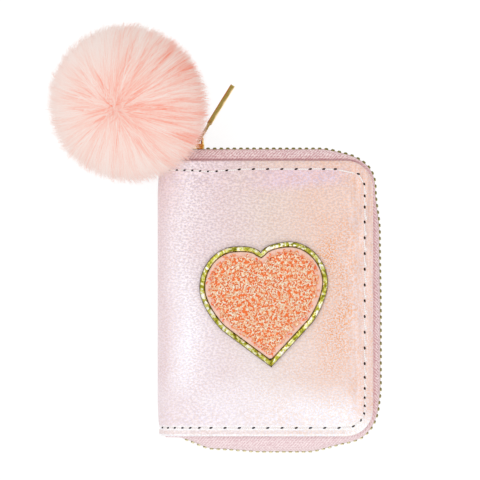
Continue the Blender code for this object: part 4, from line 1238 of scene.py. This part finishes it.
def pom_underfur():
    """The dense part of the fur: the solid's own shape, drawn in under the hair."""
    data = nodes["pom_fur"].data.copy()
    place = nodes["pom_fur"].matrix_world
    back = place.inverted()
    for point in data.vertices:
        out = place @ point.co - POM_CENTRE
        reach = Vector((out.x / POM_RADIUS, out.y / POM_RADIUS, out.z / POM_HALF_HEIGHT)).length
        share = 1 - (1 - UNDERFUR_SHARE) * smooth_step((reach - 0.55) / 0.4)
        point.co = back @ (POM_CENTRE + out * share)
    data.materials.clear()
    data.materials.append(UNDERFUR_FINISH)
    data.shade_smooth()
    piece = link("pom_underfur", data)
    piece.matrix_world = place
    return piece


def along_meridian(direction, turn):
    """The direction at an angle from the parting, on the line from the parting through a direction."""
    sideways = away_from_parting(direction)
    if sideways.length < 1e-6:
        return POM_PARTING.copy()
    return POM_PARTING * math.cos(turn) + sideways.normalized() * math.sin(turn)


def combed_path(aim, tip, reach, sweep, stray):
    """Points of one hair that leaves the soft body nearer the parting and ends over its tip."""
    turn = POM_PARTING.angle(tip)
    start = max(turn - sweep, 0.10 * turn)
    sideways = POM_PARTING.cross(tip) * (0.10 * noise.noise(tip * 1.7 + Vector((4.0, 0.0, 0.0))))
    points = []
    for step in range(HAIR_STEPS + 1):
        share = step / HAIR_STEPS
        now = start + (turn - start) * share
        direction = along_meridian(aim, now).lerp(along_meridian(tip, now), share)
        direction += sideways * (share * (1 - share) * 4) + stray * (1 - share)
        direction.normalize()
        out = HAIR_START + (reach - HAIR_START) * share ** 1.25
        points.append(POM_CENTRE + Vector((
            direction.x * POM_RADIUS, direction.y * POM_RADIUS, direction.z * POM_HALF_HEIGHT)) * out)
    return points


def strand(shape, layers, path, width, tint):
    """One hair: a thin three-sided tube that tapers to its tip. It is left out where it can't lie."""
    points = [keep_clear(place) for place in path]
    if None in points or (points[-1] - points[0]).length < 3 * MM:
        return
    along_layer, tint_layer = layers
    steps = len(points) - 1
    rings = []
    for step in range(steps):
        t = step / steps
        forward = points[step + 1] - points[step]
        if forward.length < 0.01 * MM:
            return
        forward.normalize()
        aside = forward.cross((points[step] - POM_CENTRE).normalized()).normalized()
        up = aside.cross(forward)
        radius = width * min(1.0, 0.6 + 2 * t) * (1 - 0.88 * t ** 1.6)
        ring = oval(shape, points[step], aside * radius, up * radius, 3, math.pi / 6)
        for made in ring:
            made[along_layer] = t
            made[tint_layer] = tint
        rings.append(ring)
    end = shape.verts.new(points[-1])
    end[along_layer] = 1.0
    end[tint_layer] = tint
    loft(shape, rings, False)
    for index in range(3):
        shape.faces.new((rings[-1][index], rings[-1][(index + 1) % 3], end))
    shape.faces.new(list(reversed(rings[0])))


def round_edges(piece, width):
    """Soften the edges of a carried-over solid."""
    bevel = piece.modifiers.new("Soft edges", "BEVEL")
    bevel.width = width
    bevel.segments = 3
    bevel.limit_method = "ANGLE"
    bevel.angle_limit = math.radians(35)


def paint(finish, *names):
    """Give carried-over solids their finish. The last of them is returned."""
    for name in names:
        piece = nodes[name]
        piece.data.materials.clear()
        piece.data.materials.append(finish)
    return piece


def floor_and_world():
    """White floor that keeps the object's shadow, and a white studio round it."""
    finish = Finish("floor")
    diffuse = finish.node("BsdfDiffuse", {"Color": (0.9, 0.9, 0.9, 1.0)})
    glow = finish.node("Emission", {"Color": WHITE, "Strength": 0.88})
    dim = finish.node("BsdfDiffuse", {"Color": (0.2, 0.2, 0.2, 1.0)})
    shown = finish.node("AddShader", {0: glow.outputs[0], 1: dim.outputs[0]})
    finish.show(diffuse, shown, "Material Output")
    shape = bmesh.new()
    bmesh.ops.create_grid(shape, x_segments=1, y_segments=1, size=3.0)
    floor = link("floor", new_mesh("floor", shape, finish.material))
    floor.location = (0, 0, -0.05 * MM)

    world = bpy.data.worlds.new("studio")
    world.use_nodes = True
    bpy.context.scene.world = world
    studio = Nodes(world.node_tree)
    lit = studio.tree.nodes["Background"]
    studio.set(lit, {"Color": WHITE, "Strength": 0.80})
    studio.show(lit, studio.node("Background", {"Strength": 1.0}), "World Output")


def lamps_and_camera():
    """Even soft light, and the photograph's view: straight down, with a long lens."""
    lamps = (
        ("key", (-0.55, 0.55, 1.0), 0.7, 2.4),
        ("fill", (0.75, -0.35, 0.9), 0.9, 1.5),
        ("gloss", (0.10, -0.95, 0.75), 0.5, 1.4),
    )
    for name, place, size, power in lamps:
        data = bpy.data.lights.new(name, "AREA")
        data.shape = "DISK"
        data.size = size
        data.energy = power
        lamp = link(name, data)
        lamp.location = place
        lamp.rotation_euler = (Vector((0, 0.02, 0)) - Vector(place)).to_track_quat("-Z", "Y").to_euler()
    data = bpy.data.cameras.new("camera")
    data.lens = 300
    data.sensor_width = 36
    data.clip_end = 10
    width = 192.0 * MM
    camera = link("camera", data)
    camera.location = (-10.1 * MM, 23.4 * MM, THICKNESS + width * data.lens / data.sensor_width)
    scene = bpy.context.scene
    scene.camera = camera
    scene.view_settings.view_transform = "Standard"


def build_covers():
    for side, front in (("front", True), ("back", False)):
        skin = cover_skin(side + "_cover_skin", front)
        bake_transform(skin)
        if front:
            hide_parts("front_skin", "spine_skin")
        else:
            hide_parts("back_skin")
        for piece in stitching(front, side):
            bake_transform(piece)


def build_zip():
    for side, front, phase in (("front", True, 0.95), ("back", False, 0.45)):
        body = side + "_half"
        tape = zip_tape(side + "_zip_tape", front)
        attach(tape, body)
        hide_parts("zip_tape_" + side)
        teeth = zip_teeth(side + "_zip_teeth", front, phase)
        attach(teeth, body)
        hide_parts("zip_teeth_" + side)
        cord = zip_cord(side + "_zip_cord", front)
        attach(cord, body)
    round_edges(paint(SLIDER_FINISH, "zip_slider"), 0.3 * MM)
    round_edges(paint(GOLD_FINISH, "pull_tab"), 0.5 * MM)
    paint(GOLD_FINISH, "jump_ring").data.shade_smooth()


def build_heart():
    # Its dark edge is partly the patch's own and partly painted shade in the gaps beside the foil border
    backing = heart_layers(
        "heart_backing", ((0.0, 0.10), (-0.14, 0.3), (-0.12, 0.62), (2.4, 0.66)),
        EDGE_AND_GAP_SHADE_FINISH)
    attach(backing, "front_half")
    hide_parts("heart_felt")
    border = heart_layers(
        "heart_foil_border",
        ((0.12, 0.62), (0.05, 1.0), (0.25, 1.5), (0.75, 1.75), (1.3, 1.72), (1.72, 1.45), (1.88, 1.0),
         (1.85, 0.62)),
        FOIL_FINISH, False, 0.12)
    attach(border, "front_half")
    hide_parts("heart_border")
    satin = heart_layers(
        "heart_satin", ((2.12, 0.66), (2.12, 1.15), (2.45, 1.5), (3.0, 1.68), (4.9, 1.8)),
        SATIN_FINISH)
    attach(satin, "front_half")
    ground = heart_layers(
        "heart_yarn_ground", ((4.3, 1.4), (4.5, 1.82), (5.3, 2.15)), GROUND_FINISH)
    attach(ground, "front_half")
    yarn = chenille_pad()
    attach(yarn, "front_half")
    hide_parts("heart_pad")


def build_pom():
    for piece in pom_hair():
        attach(piece, "pom")
    underfur = pom_underfur()
    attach(underfur, "pom")
    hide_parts("pom_fur")
    paint(CORE_FINISH, "pom_core").data.shade_smooth()
    paint(SATIN_FINISH, "pom_strap")


def build_inside():
    paint(FILE_FINISH, "id_pocket", "file_base")
    for number in "1234":
        paint(FILE_FINISH, "file_leaf_" + number, "file_gusset_" + number)
    paint(FILM_FINISH, "id_window")
    paint(LINING_FINISH, "front_lining", "back_lining", "spine_lining")
    paint(CARD_FINISH, "front_board", "back_board", "spine_board", "front_foam", "back_foam")


lamps_and_camera()
floor_and_world()
build_covers()
build_zip()
build_heart()
build_pom()
build_inside()
